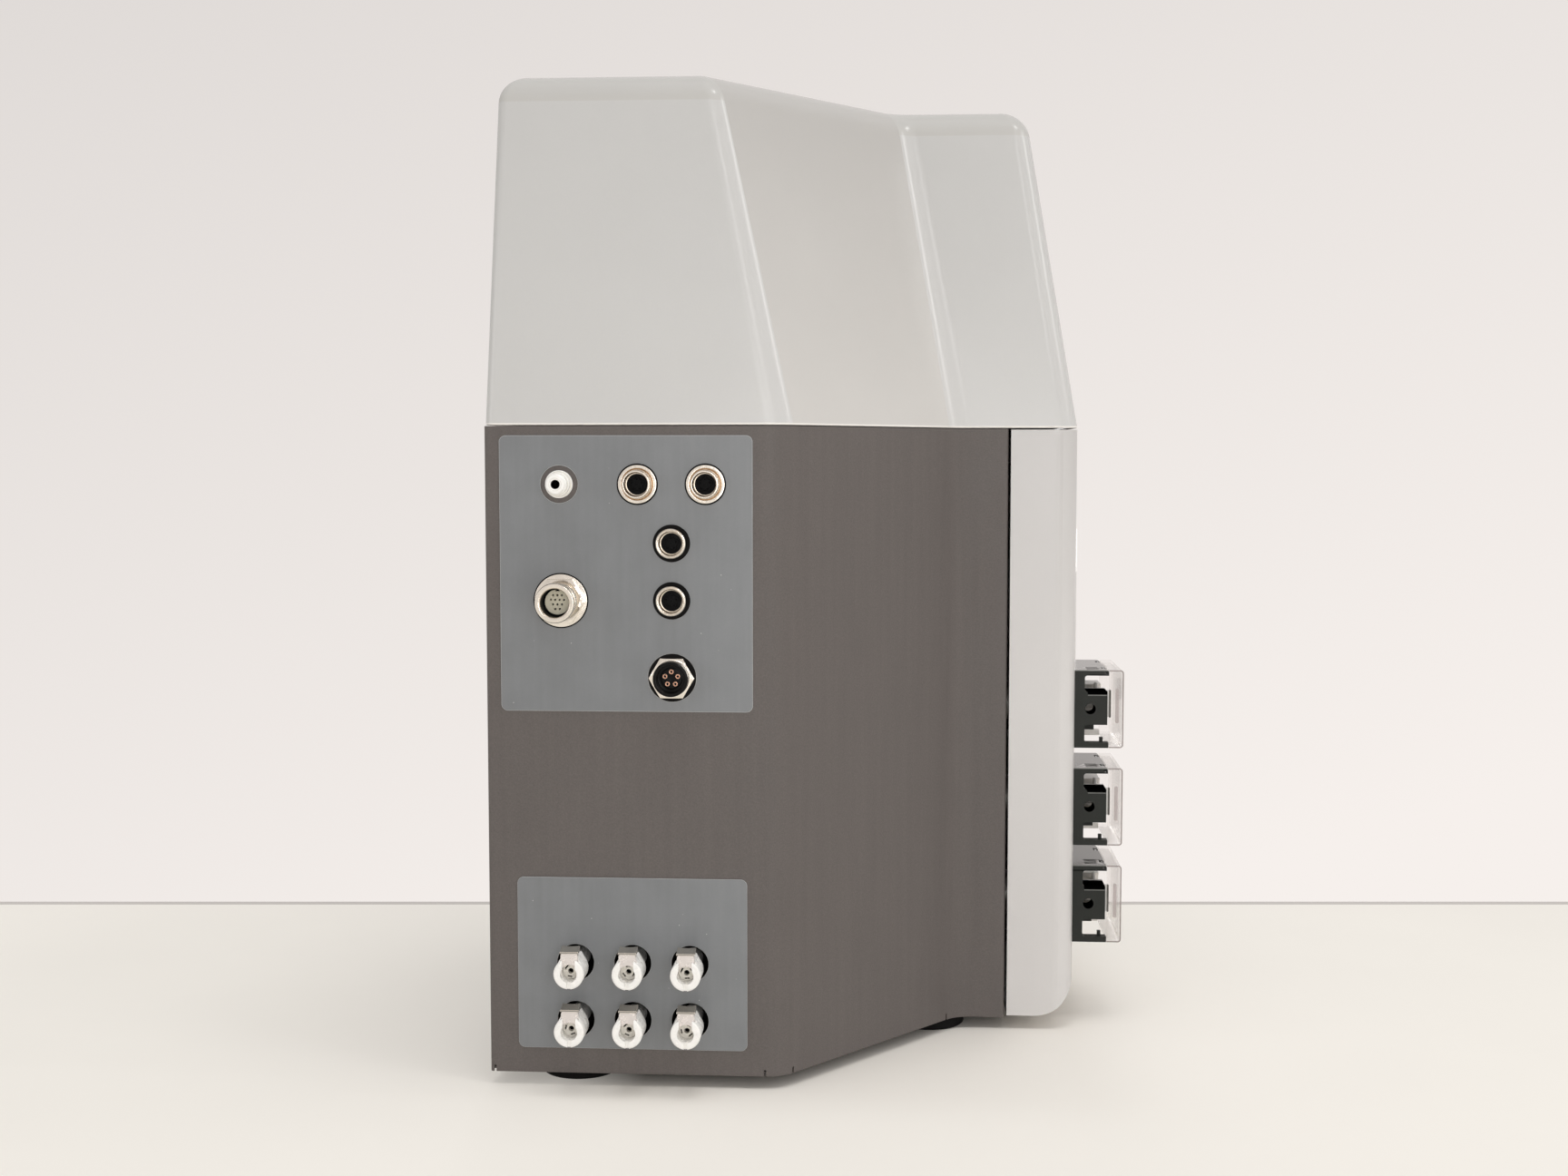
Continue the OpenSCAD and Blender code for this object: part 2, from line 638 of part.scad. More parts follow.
module flanged_socket(at) stand() color([0.8, 0.78, 0.74]) on_side(upper_port(at))
    sensor_socket(washer_r, 1.6, flanged_ring_r, flanged_proud);

module plain_socket(at) stand() color([0.75, 0.73, 0.7]) on_side(upper_port(at))
    sensor_socket(plain_ring_r - 0.5, 1.6, plain_ring_r, plain_proud);

module do_socket() flanged_socket(do_at);
module ph_socket() flanged_socket(ph_at);
module foam_level_socket() plain_socket(foam_at);
module temperature_socket() plain_socket(temperature_at);

contact_ring_r = 3.6;

// A moulded insert with five contact holes and a key slot
module sensor_insert() difference() {
    translate([0, 0, socket_seat]) cylinder(r = seat_bore_r - snug, h = insert_h);
    for (k = [0:4]) rotate([0, 0, 18 + 72 * k]) translate([contact_ring_r, 0, socket_seat + 0.8])
        cylinder(r = 0.65, h = insert_h, $fn = 24);
    translate([-1, seat_bore_r - 1.6, socket_seat + 0.8]) cube([2, 2, insert_h]);
}

module sensor_socket_inserts() stand() color([0.05, 0.05, 0.06])
    for (at = [do_at, ph_at, foam_at, temperature_at]) on_side(upper_port(at)) sensor_insert();

washer_t = 1.5;
motor_nut_t = 6;
motor_collar = 6;
motor_seat = 4;
motor_insert_r = motor_bore_r - 1.25;
motor_insert_top = 14;

module motor_socket() stand() color([0.78, 0.75, 0.68]) on_side(upper_port(motor_at)) rotate_extrude() polygon([
    [motor_insert_r - 1, -stem_l], [motor_r, -stem_l], [motor_r, 0], [motor_nut_af / 2 + 2, 0],
    [motor_nut_af / 2 + 2, washer_t], [motor_r, washer_t], [motor_r, motor_proud - motor_collar - 1],
    [motor_r + 1, motor_proud - motor_collar], [motor_r + 1, motor_proud - 0.8],
    [motor_r + 0.2, motor_proud], [motor_bore_r + 0.6, motor_proud], [motor_bore_r, motor_proud - 0.6],
    [motor_bore_r, motor_insert_top], [motor_insert_r + snug, motor_insert_top],
    [motor_insert_r + snug, motor_seat], [motor_insert_r - 1, motor_seat]
]);

module motor_socket_nut() stand() color([0.82, 0.79, 0.72]) on_side(upper_port(motor_at))
    translate([0, 0, washer_t]) nut(motor_nut_af, motor_nut_t, motor_r + snug);

// A hexagon nut with its outer corners turned off at 30 degrees
module nut(af, t, bore_r) difference() {
    intersection() {
        linear_extrude(t) hexagon(af);
        rotate_extrude() polygon([
            [0, 0], [af / 2 / cos(30), 0], [af / 2 / cos(30), t - 1.1], [af / 2 - 0.1, t], [0, t]
        ]);
    }
    translate([0, 0, -cut]) cylinder(r = bore_r, h = t + 2 * cut);
}

// Rows of contact holes across the motor insert: how many, and their height
motor_rows = [[3, 4.6], [4, 1.5], [3, -1.6], [2, -4.7]];
motor_hole_gap = 3;

module motor_socket_insert() stand() color([0.85, 0.8, 0.68]) on_side(upper_port(motor_at)) difference() {
    translate([0, 0, motor_seat]) cylinder(r = motor_insert_r, h = motor_insert_top - motor_seat);
    for (row = motor_rows, k = [0:row[0] - 1])
        translate([(k - (row[0] - 1) / 2) * motor_hole_gap, row[1], motor_insert_top - 5])
            cylinder(r = 0.6, h = 6, $fn = 24);
    translate([-1.2, motor_insert_r - 1.2, motor_insert_top - 3]) cube([2.4, 3, 4]);
}

heater_nut_t = 5;
heater_floor = 4;
heater_contacts = 5;

module heater_socket() stand() color([0.06, 0.06, 0.07]) on_side(upper_port(heater_at)) difference() {
    rotate_extrude() polygon([
        [0, -stem_l], [heater_r, -stem_l], [heater_r, 0], [heater_nut_af / 2 - 0.3, 0], [heater_nut_af / 2 - 0.3, 1],
        [heater_r, 1], [heater_r, heater_proud - 0.8], [heater_r - 0.8, heater_proud],
        [heater_bore_r + 0.5, heater_proud], [heater_bore_r, heater_proud - 0.5],
        [heater_bore_r, heater_floor], [0, heater_floor]
    ]);
    for (k = [0:heater_contacts - 1]) rotate([0, 0, 90 + 360 / heater_contacts * k])
        translate([4.6, 0, heater_floor - 5]) cylinder(r = 1, h = 6, $fn = 24);
}

module heater_socket_nut() stand() color([0.8, 0.79, 0.77]) on_side(upper_port(heater_at))
    translate([0, 0, 1]) nut(heater_nut_af, heater_nut_t, heater_r + snug);

// A push-in gas fitting: flange, body, release collar and a bore with a stop for the tube
module sparge_fitting() stand() color([0.92, 0.91, 0.89]) on_side(upper_port(sparge_at)) rotate_extrude() polygon([
    [sparge_bore_r - 1, -stem_l], [sparge_stem_r, -stem_l], [sparge_stem_r, 0], [sparge_r, 0],
    [sparge_r, 2], [sparge_r - 0.5, 2.5], [sparge_r - 1.4, 2.5], [sparge_r - 1.4, 7.2], [sparge_r - 2, 7.8],
    [sparge_r - 2.4, 7.8], [sparge_r - 2.4, 11], [sparge_r - 4, sparge_proud - 3.5],
    [sparge_r - 3, sparge_proud - 2], [sparge_r - 3, sparge_proud - 0.6], [sparge_r - 3.6, sparge_proud],
    [sparge_bore_r + 0.8, sparge_proud], [sparge_bore_r, sparge_proud - 0.8],
    [sparge_bore_r, 1.5], [sparge_bore_r - 1, 1.5]
]);

// ---- Water couplings ----

shank_r = 7;
tail_r = 4;
tail_l = 14;
bore_end = coupling_proud - 17;             // bottom of the socket
latch_z = coupling_proud - 4.6;             // back of the latch plate
latch_hole_r = coupling_bore_r + 0.2;
latch_ring_r = coupling_r - 2.1;            // outer edge of the latch's fork
latch_top = 12.6;
latch_foot = -3;
tab_l = 8;
shoulder_z = 10.9;
shoulder_w = 11.2;
ring_gap = 9;                               // opening at the top of the front ring
flank_z = 6.6;                              // where the shoulders leave the barrel
flank_x = sqrt(pow(coupling_r, 2) - pow(flank_z, 2));

// The moulded body of a coupling, its axis along Z and its latch towards +Y
module coupling_body() difference() {
    union() {
        rotate_extrude() polygon([
            [0, -bracket_in - tail_l], [tail_r, -bracket_in - tail_l], [tail_r + 0.9, -bracket_in - tail_l + 4],
            [tail_r, -bracket_in - tail_l + 4], [tail_r + 0.4, -bracket_in - tail_l + 8], [tail_r - 0.2, -bracket_in - 2],
            [tail_r - 0.2, -bracket_in], [shank_r, -bracket_in], [shank_r, 3], [coupling_r - 1.2, 4.5],
            [coupling_r - 1.2, 8], [coupling_r, 9], [coupling_r, coupling_proud - 1], [coupling_r - 1, coupling_proud], [0, coupling_proud]
        ]);
        // Shoulders that house the latch above the barrel
        translate([0, 0, 9]) linear_extrude(latch_z - 9) polygon([
            [-flank_x, 0], [flank_x, 0], [flank_x, flank_z], [shoulder_w / 2, shoulder_z],
            [-shoulder_w / 2, shoulder_z], [-flank_x, flank_z]
        ]);
    }
    // Socket, water way and latch slot
    translate([0, 0, bore_end]) cylinder(r = coupling_bore_r, h = 20);
    translate([0, 0, -bracket_in - tail_l - cut]) cylinder(r = water_r, h = bracket_in + tail_l + bore_end + 2 * cut);
    translate([0, 0, latch_z - play]) linear_extrude(latch_t + 2 * play) intersection() {
        union() {
            for (y = [0, -latch_travel]) translate([0, y]) circle(latch_ring_r + play);
            translate([-latch_ring_r - play, -latch_travel]) square([2 * latch_ring_r + 2 * play, latch_travel]);
            translate([-latch_w / 2 - play, 0]) square([latch_w + 2 * play, 20]);
        }
        translate([-20, latch_foot - latch_travel - play]) square([40, 40]);
    }
    // The ring in front of the latch is open at the top and slit at the bottom
    translate([-ring_gap / 2, 0, latch_z]) cube([ring_gap, 20, coupling_proud]);
    translate([-1.2, -20, coupling_proud - 2.4]) cube([2.4, 20, 4]);
}

// A sheet latch: a fork whose legs pass the socket on both sides, and a thumb tab
module latch() {
    difference() {
        translate([0, 0, latch_z]) linear_extrude(latch_t) {
            circle(latch_ring_r);
            translate([-latch_w / 2, 0]) square([latch_w, latch_top]);
        }
        translate([0, 0, latch_z - cut]) cylinder(r = latch_hole_r, h = latch_t + 2 * cut);
        translate([-20, latch_foot - 40, latch_z - cut]) cube([40, 40, latch_t + 2 * cut]);
    }
    translate([-latch_w / 2 + 0.5, latch_top + latch_travel - latch_t, latch_z - tab_l + latch_t])
        cube([latch_w - 1, latch_t, tab_l]);
    translate([-latch_w / 2 + 0.5, latch_top - latch_t, latch_z]) cube([latch_w - 1, latch_travel + 0.1, latch_t]);
}

module coupling_at_place(i, j) stand() color([0.93, 0.92, 0.9]) on_side(coupling_axis(i, j)) coupling_body();
module latch_at_place(i, j) stand() color([0.62, 0.61, 0.58]) on_side(coupling_axis(i, j)) latch();

module water_in_coupling() coupling_at_place(0, 1);
module drain_coupling() coupling_at_place(0, 0);
module condenser_in_coupling() coupling_at_place(1, 1);
module condenser_return_coupling() coupling_at_place(1, 0);
module cool_loop_in_coupling() coupling_at_place(2, 1);
module cool_loop_return_coupling() coupling_at_place(2, 0);
module water_in_latch() latch_at_place(0, 1);
module drain_latch() latch_at_place(0, 0);
module condenser_in_latch() latch_at_place(1, 1);
module condenser_return_latch() latch_at_place(1, 0);
module cool_loop_in_latch() latch_at_place(2, 1);
module cool_loop_return_latch() latch_at_place(2, 0);

bracket_margin = 22;
bracket_foot = 30;

module coupling_bracket() stand() color([0.6, 0.6, 0.62]) {
    x0 = coupling_hole(0, 0)[0] - bracket_margin;
    x1 = coupling_hole(2, 0)[0] + bracket_margin;
    z1 = coupling_hole(0, 1)[1] + bracket_margin;
    difference() {
        translate([x0, bracket_in, floor_z]) cube([x1 - x0, sheet_t, z1 - floor_z]);
        for (i = [0:2], j = [0:1]) on_side(coupling_axis(i, j))
            translate([0, 0, -bracket_in - sheet_t - cut]) cylinder(r = tail_r + 1.2, h = sheet_t + 2 * cut);
    }
    translate([x0, bracket_in, floor_z]) cube([x1 - x0, bracket_foot, sheet_t]);
}

// ---- Pumps ----

pump_y = bay_d + pump_in + pump_w / 2;
function pump_z(n) = panel_z + pump_low + (3 - n) * (pump_h + pump_gap);
reach_r = roller_ring_r + roller_r;             // circle that the rollers sweep
track_r = reach_r + tube_squeeze;
tube_x = pump_back + tube_r + 0.4;              // tube holes, from the pump's back
block_reach = arm_reach - 1;
rotor_gap = 0.5;
disc_t = 1.5;
disc_r = reach_r + 0.9;
roller_x = pump_back + rotor_gap + disc_t + play;       // back end of the rollers
rotor_front = roller_x + roller_l + play + disc_t;
hinge_r = arm_t / 2;
knuckle_w = 8;
knuckle_at = 0.3;                               // place of the knuckles, as a share of the width
cover_back = arm_reach + play;
cover_r = 2.5;

// Puts children on the fascia at a pump's middle: X forward from the fascia, Y across, Z up
module at_pump(n) translate([front_x, pump_y, pump_z(n)]) children();
module along_y(w) translate([0, w / 2, 0]) rotate([90, 0, 0]) linear_extrude(w) children();

end_t = 8;                                      // width of the lower arms at a pump's two ends
slot_r = 2;                                     // inner corners of the slots
block_lift = 0.6;                               // height of the blocks' middle above the rotor's
guard = [9, 35, 18.5];                          // guard under the rotor: depth, width, reach down
stop = [2.6, 3, 3.4];                           // stop on the lower arm at the port side
stop_x = 19.8;

// Side section of the upper arm, with a rounded upper corner that the cover swings round
module arm_section(z) {
    translate([0, z - arm_t / 2]) square([arm_reach - hinge_r, arm_t]);
    translate([0, z - arm_t / 2]) square([arm_reach, arm_t / 2]);
    translate([arm_reach - hinge_r, z]) circle(hinge_r);
}

// Fillet in the slot's corner at height z, on its upper side (s = 1) or its lower side (s = -1)
module slot_corner(z, s) difference() {
    translate([pump_back - 0.5, s > 0 ? z - 0.5 : z - slot_r]) square(slot_r + 0.5);
    translate([pump_back + slot_r, z + s * slot_r]) circle(slot_r);
}

module pump_body(n) stand() color([0.13, 0.14, 0.14]) at_pump(n) {
    arm_z = pump_h / 2 - arm_t / 2;
    block_low = block_lift - block_h / 2;
    difference() {
        union() {
            translate([0, -pump_w / 2, -pump_h / 2]) cube([pump_back, pump_w, pump_h]);
            along_y(pump_w) arm_section(arm_z);
            for (s = [-1, 1]) translate([0, s * (pump_w - end_t) / 2, 0]) along_y(end_t) {
                translate([pump_back - cut, -pump_h / 2]) square([arm_reach - pump_back + cut, arm_t]);
                slot_corner(pump_h / 2 - arm_t, -1);
                slot_corner(block_low + block_h, 1);
                slot_corner(block_low, -1);
                slot_corner(arm_t - pump_h / 2, 1);
            }
            translate([stop_x, end_t - stop[1] - pump_w / 2, arm_t - cut - pump_h / 2]) cube([stop[0], stop[1], stop[2] + cut]);
            difference() {
                union() {
                    translate([pump_back - cut, -pump_w / 2, block_low]) cube([block_reach - pump_back + cut, pump_w, block_h]);
                    translate([pump_back - cut, -guard[1] / 2, -guard[2]]) cube([guard[0] + cut, guard[1], guard[2]]);
                }
                // Track round the rotor
                translate([pump_back, 0, 0]) rotate([0, 90, 0]) cylinder(r = track_r, h = block_reach);
            }
        }
        // Shaft bore
        translate([-cut, 0, 0]) rotate([0, 90, 0]) cylinder(r = shaft_r + slip, h = pump_back + 2 * cut);
        // Tube holes through both blocks
        translate([tube_x, pump_w / 2 + cut, 0]) rotate([90, 0, 0]) cylinder(r = tube_r, h = pump_w + 2 * cut);
        // Slots for the cover's knuckles, and the hinge bore
        for (s = [-1, 1]) translate([arm_reach - 2 * hinge_r - play, s * knuckle_at * pump_w - knuckle_w / 2 - play, arm_z - hinge_r - cut])
            cube([2 * hinge_r + 2 * cut, knuckle_w + 2 * play, arm_t + 2 * cut]);
        translate([arm_reach - hinge_r, pump_w / 2 + cut, arm_z]) rotate([90, 0, 0]) cylinder(r = hinge_pin_r + slip, h = pump_w + 2 * cut, $fn = 32);
        // Vent slots in the top arm
        for (k = [0:3]) translate([pump_back + 2, -pump_w / 2 + 5 + k * 4.5, arm_z - arm_t]) cube([9, 2, 2 * arm_t]);
    }
}

module pump_cover(n) stand() color([0.85, 0.88, 0.9, 0.4]) at_pump(n) {
    arm_z = pump_h / 2 - arm_t / 2;
    difference() {
        along_y(pump_w) cover_section(0);
        along_y(pump_w - 2 * cover_t) cover_section(cover_t);
    }
    // Knuckles round the hinge pin
    for (s = [-1, 1]) translate([0, s * knuckle_at * pump_w, 0]) along_y(knuckle_w) {
        translate([arm_reach - hinge_r, arm_z]) circle(hinge_r);
        translate([arm_reach - hinge_r, arm_z]) square([hinge_r + 2 * play, hinge_r]);
    }
    translate([arm_reach - hinge_r, knuckle_at * pump_w + knuckle_w, arm_z]) rotate([90, 0, 0])
        cylinder(r = hinge_pin_r, h = 2 * (knuckle_at * pump_w + knuckle_w), $fn = 32);
}

// Side section of the cover, shrunk by w except at its open back
module cover_section(w) {
    x0 = cover_back - (w > 0 ? cut : 0);
    x1 = cover_reach - w;
    z0 = -pump_h / 2 + w;
    z1 = pump_h / 2 - w;
    r = max(0.5, cover_r - w);
    translate([x0, z0]) square([x1 - r - x0, z1 - z0]);
    translate([x0, z0 + r]) square([x1 - x0, z1 - z0 - 2 * r]);
    for (z = [z0 + r, z1 - r]) translate([x1 - r, z]) circle(r, $fn = 32);
}

// Rotor: shaft, two discs and the pins that carry the rollers
module pump_rotor(n) stand() color([0.2, 0.2, 0.21]) at_pump(n) {
    rotate([0, 90, 0]) {
        translate([0, 0, -mould_t - 8]) cylinder(r = shaft_r, h = mould_t + 8 + rotor_front);
        translate([0, 0, pump_back + rotor_gap]) cylinder(r = disc_r, h = disc_t);
        translate([0, 0, rotor_front - disc_t]) cylinder(r = disc_r, h = disc_t);
        for (k = [0:2]) rotate([0, 0, 120 * k]) translate([roller_ring_r, 0, pump_back + rotor_gap])
            cylinder(r = roller_pin_r, h = rotor_front - pump_back - rotor_gap, $fn = 32);
    }
}

module pump_roller(n, k) stand() color([0.75, 0.75, 0.76]) at_pump(n) rotate([0, 90, 0]) rotate([0, 0, 120 * (k - 1)])
    translate([roller_ring_r, 0, roller_x]) difference() {
        cylinder(r = roller_r, h = roller_l);
        translate([0, 0, -cut]) cylinder(r = roller_pin_r + slip, h = roller_l + 2 * cut, $fn = 32);
    }

module pump_1_body() pump_body(1);
module pump_2_body() pump_body(2);
module pump_3_body() pump_body(3);
module pump_1_cover() pump_cover(1);
module pump_2_cover() pump_cover(2);
module pump_3_cover() pump_cover(3);
module pump_1_rotor() pump_rotor(1);
module pump_2_rotor() pump_rotor(2);
module pump_3_rotor() pump_rotor(3);
module pump_1_roller_1() pump_roller(1, 1);
module pump_1_roller_2() pump_roller(1, 2);
module pump_1_roller_3() pump_roller(1, 3);
module pump_2_roller_1() pump_roller(2, 1);
module pump_2_roller_2() pump_roller(2, 2);
module pump_2_roller_3() pump_roller(2, 3);
module pump_3_roller_1() pump_roller(3, 1);
module pump_3_roller_2() pump_roller(3, 2);
module pump_3_roller_3() pump_roller(3, 3);

gearbox = [22, 40, 40];
motor_can_r = 17;
motor_can_l = 44;

// Geared motors behind the fascia, one to a pump, with the rotor's shaft in their hub
module pump_motors() stand() color([0.55, 0.56, 0.58]) for (n = [1:3]) at_pump(n) difference() {
    union() {
        translate([-mould_t - gearbox[0], -gearbox[1] / 2, -gearbox[2] / 2]) cube(gearbox);
        translate([-mould_t - gearbox[0] - motor_can_l, 0, 0]) rotate([0, 90, 0]) cylinder(r = motor_can_r, h = motor_can_l + cut);
    }
    translate([-mould_t - 9, 0, 0]) rotate([0, 90, 0]) cylinder(r = shaft_r + slip, h = 9 + cut);
}

// ---- Rotameter on the fascia ----

rotameter_y = cabinet_w - rotameter_in;
rotameter_z = pump_z(1) - 18;
knob_z = rotameter_z + 14;
ball_rest_z = rotameter_z + 40;
ball_travel = rotameter_h - 62;
knob_l = 8;
knob_stem_r = 2.5;

module rotameter_block() stand() color([0.85, 0.9, 0.92, 0.45]) difference() {
    translate([front_x, rotameter_y - rotameter_w / 2, rotameter_z]) cube([rotameter_proud, rotameter_w, rotameter_h]);
    translate([front_x + rotameter_proud / 2, rotameter_y, ball_rest_z - ball_r]) cylinder(r = rotameter_bore_r, h = ball_travel + 2 * ball_r + 1);
    translate([front_x + cut, rotameter_y, knob_z]) rotate([0, 90, 0]) cylinder(r = knob_stem_r + slip, h = rotameter_proud);
}

module rotameter_ball() stand() color([0.15, 0.15, 0.16])
    translate([front_x + rotameter_proud / 2, rotameter_y, ball_rest_z]) sphere(ball_r);

module rotameter_knob() stand() color([0.1, 0.1, 0.1]) translate([front_x, rotameter_y, knob_z]) rotate([0, 90, 0]) {
    difference() {
        translate([0, 0, rotameter_proud + play]) cylinder(r = knob_r, h = knob_l);
        for (k = [0:17]) rotate([0, 0, 20 * k]) translate([knob_r + 0.5, 0, rotameter_proud]) cylinder(r = 1.1, h = knob_l + 2, $fn = 16);
    }
    translate([0, 0, 2 * cut]) cylinder(r = knob_stem_r, h = rotameter_proud, $fn = 48);
}

// ---- Mains inlet ----

inlet_body_w = 27;
inlet_rim = 3;
inlet_depth = 26;
cavity = [24.4, 16.6];
cavity_deep = 17;
rocker_w = 13;
rocker_h = 21;
rocker_z = inlet_z + inlet_h - 16;
cavity_z = inlet_z + 16;

// Outline of the inlet's cavity, with its two upper corners cut off
module cavity_outline() polygon([
    [-cavity[0] / 2, -cavity[1] / 2], [cavity[0] / 2, -cavity[1] / 2], [cavity[0] / 2, cavity[1] / 2 - 4],
    [cavity[0] / 2 - 4, cavity[1] / 2], [-cavity[0] / 2 + 4, cavity[1] / 2], [-cavity[0] / 2, cavity[1] / 2 - 4]
]);

module mains_inlet() stand() color([0.07, 0.07, 0.07]) {
    difference() {
        union() {
            translate([sheet_t - inlet_proud - sheet_t, inlet_y - inlet_w / 2, inlet_z]) cube([inlet_proud + sheet_t, inlet_w, inlet_h]);
            translate([sheet_t - cut, inlet_y - inlet_body_w / 2, inlet_z + inlet_rim]) cube([inlet_depth, inlet_body_w, inlet_h - 2 * inlet_rim]);
        }
        translate([-inlet_proud - cut, inlet_y, cavity_z]) rotate([90, 0, 90]) linear_extrude(cavity_deep + cut) cavity_outline();
        translate([-inlet_proud - cut, inlet_y - rocker_w / 2 - play, rocker_z - rocker_h / 2 - play])
            cube([16, rocker_w + 2 * play, rocker_h + 2 * play]);
        // Bores for the rocker's axle
        translate([rocker_axis_x, inlet_y + rocker_w / 2 + 3, rocker_z]) rotate([90, 0, 0])
            cylinder(r = axle_r + slip, h = rocker_w + 6, $fn = 32);
    }
    // Three blade contacts standing in the cavity
    for (p = [[-7, -1.5], [7, -1.5], [0, 3]]) translate([-inlet_proud + 5, inlet_y + p[0] - 1, cavity_z + p[1] - 2])
        cube([cavity_deep, 2, 4]);
}

rocker_axis_x = 6;
axle_r = 1.2;

// A rocker with two faces that meet at a shallow angle over its axle
module power_rocker() stand() color([0.05, 0.05, 0.05]) translate([rocker_axis_x, inlet_y, rocker_z]) {
    half = rocker_h / 2;
    translate([0, rocker_w / 2 + 2.5, 0]) rotate([90, 0, 0]) cylinder(r = axle_r, h = rocker_w + 5, $fn = 32);
    along_y(rocker_w) rotate(-rock_angle / 2) polygon([
        [-rocker_axis_x, -half * cos(rock_angle) + 1], [-rocker_axis_x + 1.4, 0], [-rocker_axis_x, half * cos(rock_angle) - 1],
        [1, half * cos(rock_angle) - 2.2], [2.5, 0], [1, -half * cos(rock_angle) + 2.2]
    ]);
}

// ---- Inside ----

supply = [120, 95, 48];
board = [150, 110, 1.6];
standoff_h = 10;
inside_x = 70;

module power_supply() stand() color([0.7, 0.7, 0.72]) translate([inside_x, cabinet_w - 150, floor_z]) difference() {
    cube(supply);
    for (k = [0:11]) translate([12 + 8 * k, -cut, 14]) cube([3, 2 + cut, 24]);
}

// Circuit board on four standoffs, with a heat sink and two connectors
module control_board() stand() color([0.12, 0.35, 0.2]) translate([inside_x + 130, cabinet_w - 150, floor_z]) {
    translate([0, 0, standoff_h]) cube(board);
    for (x = [6, board[0] - 6], y = [6, board[1] - 6]) translate([x, y, 0]) cylinder(r = 3, h = standoff_h + cut, $fn = 32);
    translate([30, 30, standoff_h + 1]) cube([40, 40, 5]);
    for (k = [0:6]) translate([30 + 6 * k, 30, standoff_h + 5]) cube([2, 40, 14]);
    for (y = [10, 80]) translate([100, y, standoff_h + 1]) cube([30, 9, 10]);
}

left_side_panel();
right_side_panel();
rear_panel();
base_plate();
feet();
hood();
front_fascia();
upper_port_plate();
lower_port_plate();
sparge_fitting();
do_socket();
ph_socket();
foam_level_socket();
temperature_socket();
sensor_socket_inserts();
motor_socket();
motor_socket_nut();
motor_socket_insert();
heater_socket();
heater_socket_nut();
coupling_bracket();
water_in_coupling();
drain_coupling();
condenser_in_coupling();
condenser_return_coupling();
cool_loop_in_coupling();
cool_loop_return_coupling();
water_in_latch();
drain_latch();
condenser_in_latch();
condenser_return_latch();
cool_loop_in_latch();
cool_loop_return_latch();
pump_1_body();
pump_2_body();
pump_3_body();
pump_1_cover();
pump_2_cover();
pump_3_cover();
pump_1_rotor();
pump_2_rotor();
pump_3_rotor();
pump_1_roller_1();
pump_1_roller_2();
pump_1_roller_3();
pump_2_roller_1();
pump_2_roller_2();
pump_2_roller_3();
pump_3_roller_1();
pump_3_roller_2();
pump_3_roller_3();
pump_motors();
touch_screen();
rotameter_block();
rotameter_ball();
rotameter_knob();
mains_inlet();
power_rocker();
power_supply();
control_board();
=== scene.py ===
import math
import bmesh
import bpy
import numpy as np
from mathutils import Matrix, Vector


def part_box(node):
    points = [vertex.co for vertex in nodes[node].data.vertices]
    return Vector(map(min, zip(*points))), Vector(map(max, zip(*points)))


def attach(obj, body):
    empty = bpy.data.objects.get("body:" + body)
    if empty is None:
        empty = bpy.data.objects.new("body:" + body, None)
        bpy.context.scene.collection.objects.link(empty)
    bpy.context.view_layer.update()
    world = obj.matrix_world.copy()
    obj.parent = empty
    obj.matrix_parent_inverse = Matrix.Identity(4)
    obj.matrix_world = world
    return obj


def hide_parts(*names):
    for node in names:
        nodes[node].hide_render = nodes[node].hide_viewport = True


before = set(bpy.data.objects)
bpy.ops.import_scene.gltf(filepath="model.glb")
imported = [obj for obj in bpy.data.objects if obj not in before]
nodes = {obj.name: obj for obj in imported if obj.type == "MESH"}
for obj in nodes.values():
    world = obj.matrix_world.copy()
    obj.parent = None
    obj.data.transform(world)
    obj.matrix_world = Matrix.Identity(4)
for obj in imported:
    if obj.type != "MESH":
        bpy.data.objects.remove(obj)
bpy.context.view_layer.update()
mm = 0.001

# The cabinet's own corner: rear edge, port side, floor. Shapes are written in
# millimetres from here, x to the front, y in from the port side, z up.
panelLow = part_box("left_side_panel")[0]
origin = np.array([panelLow[0], panelLow[1], 0.0])
print("frame loaded,", len(nodes), "nodes")


def srgb(red, green, blue):
    # an eight-bit screen colour as the linear colour that a shader takes
    value = np.array([red, green, blue]) / 255.0
    linear = np.where(value <= 0.04045, value / 12.92, ((value + 0.055) / 1.055) ** 2.4)
    return (*[float(v) for v in linear], 1.0)


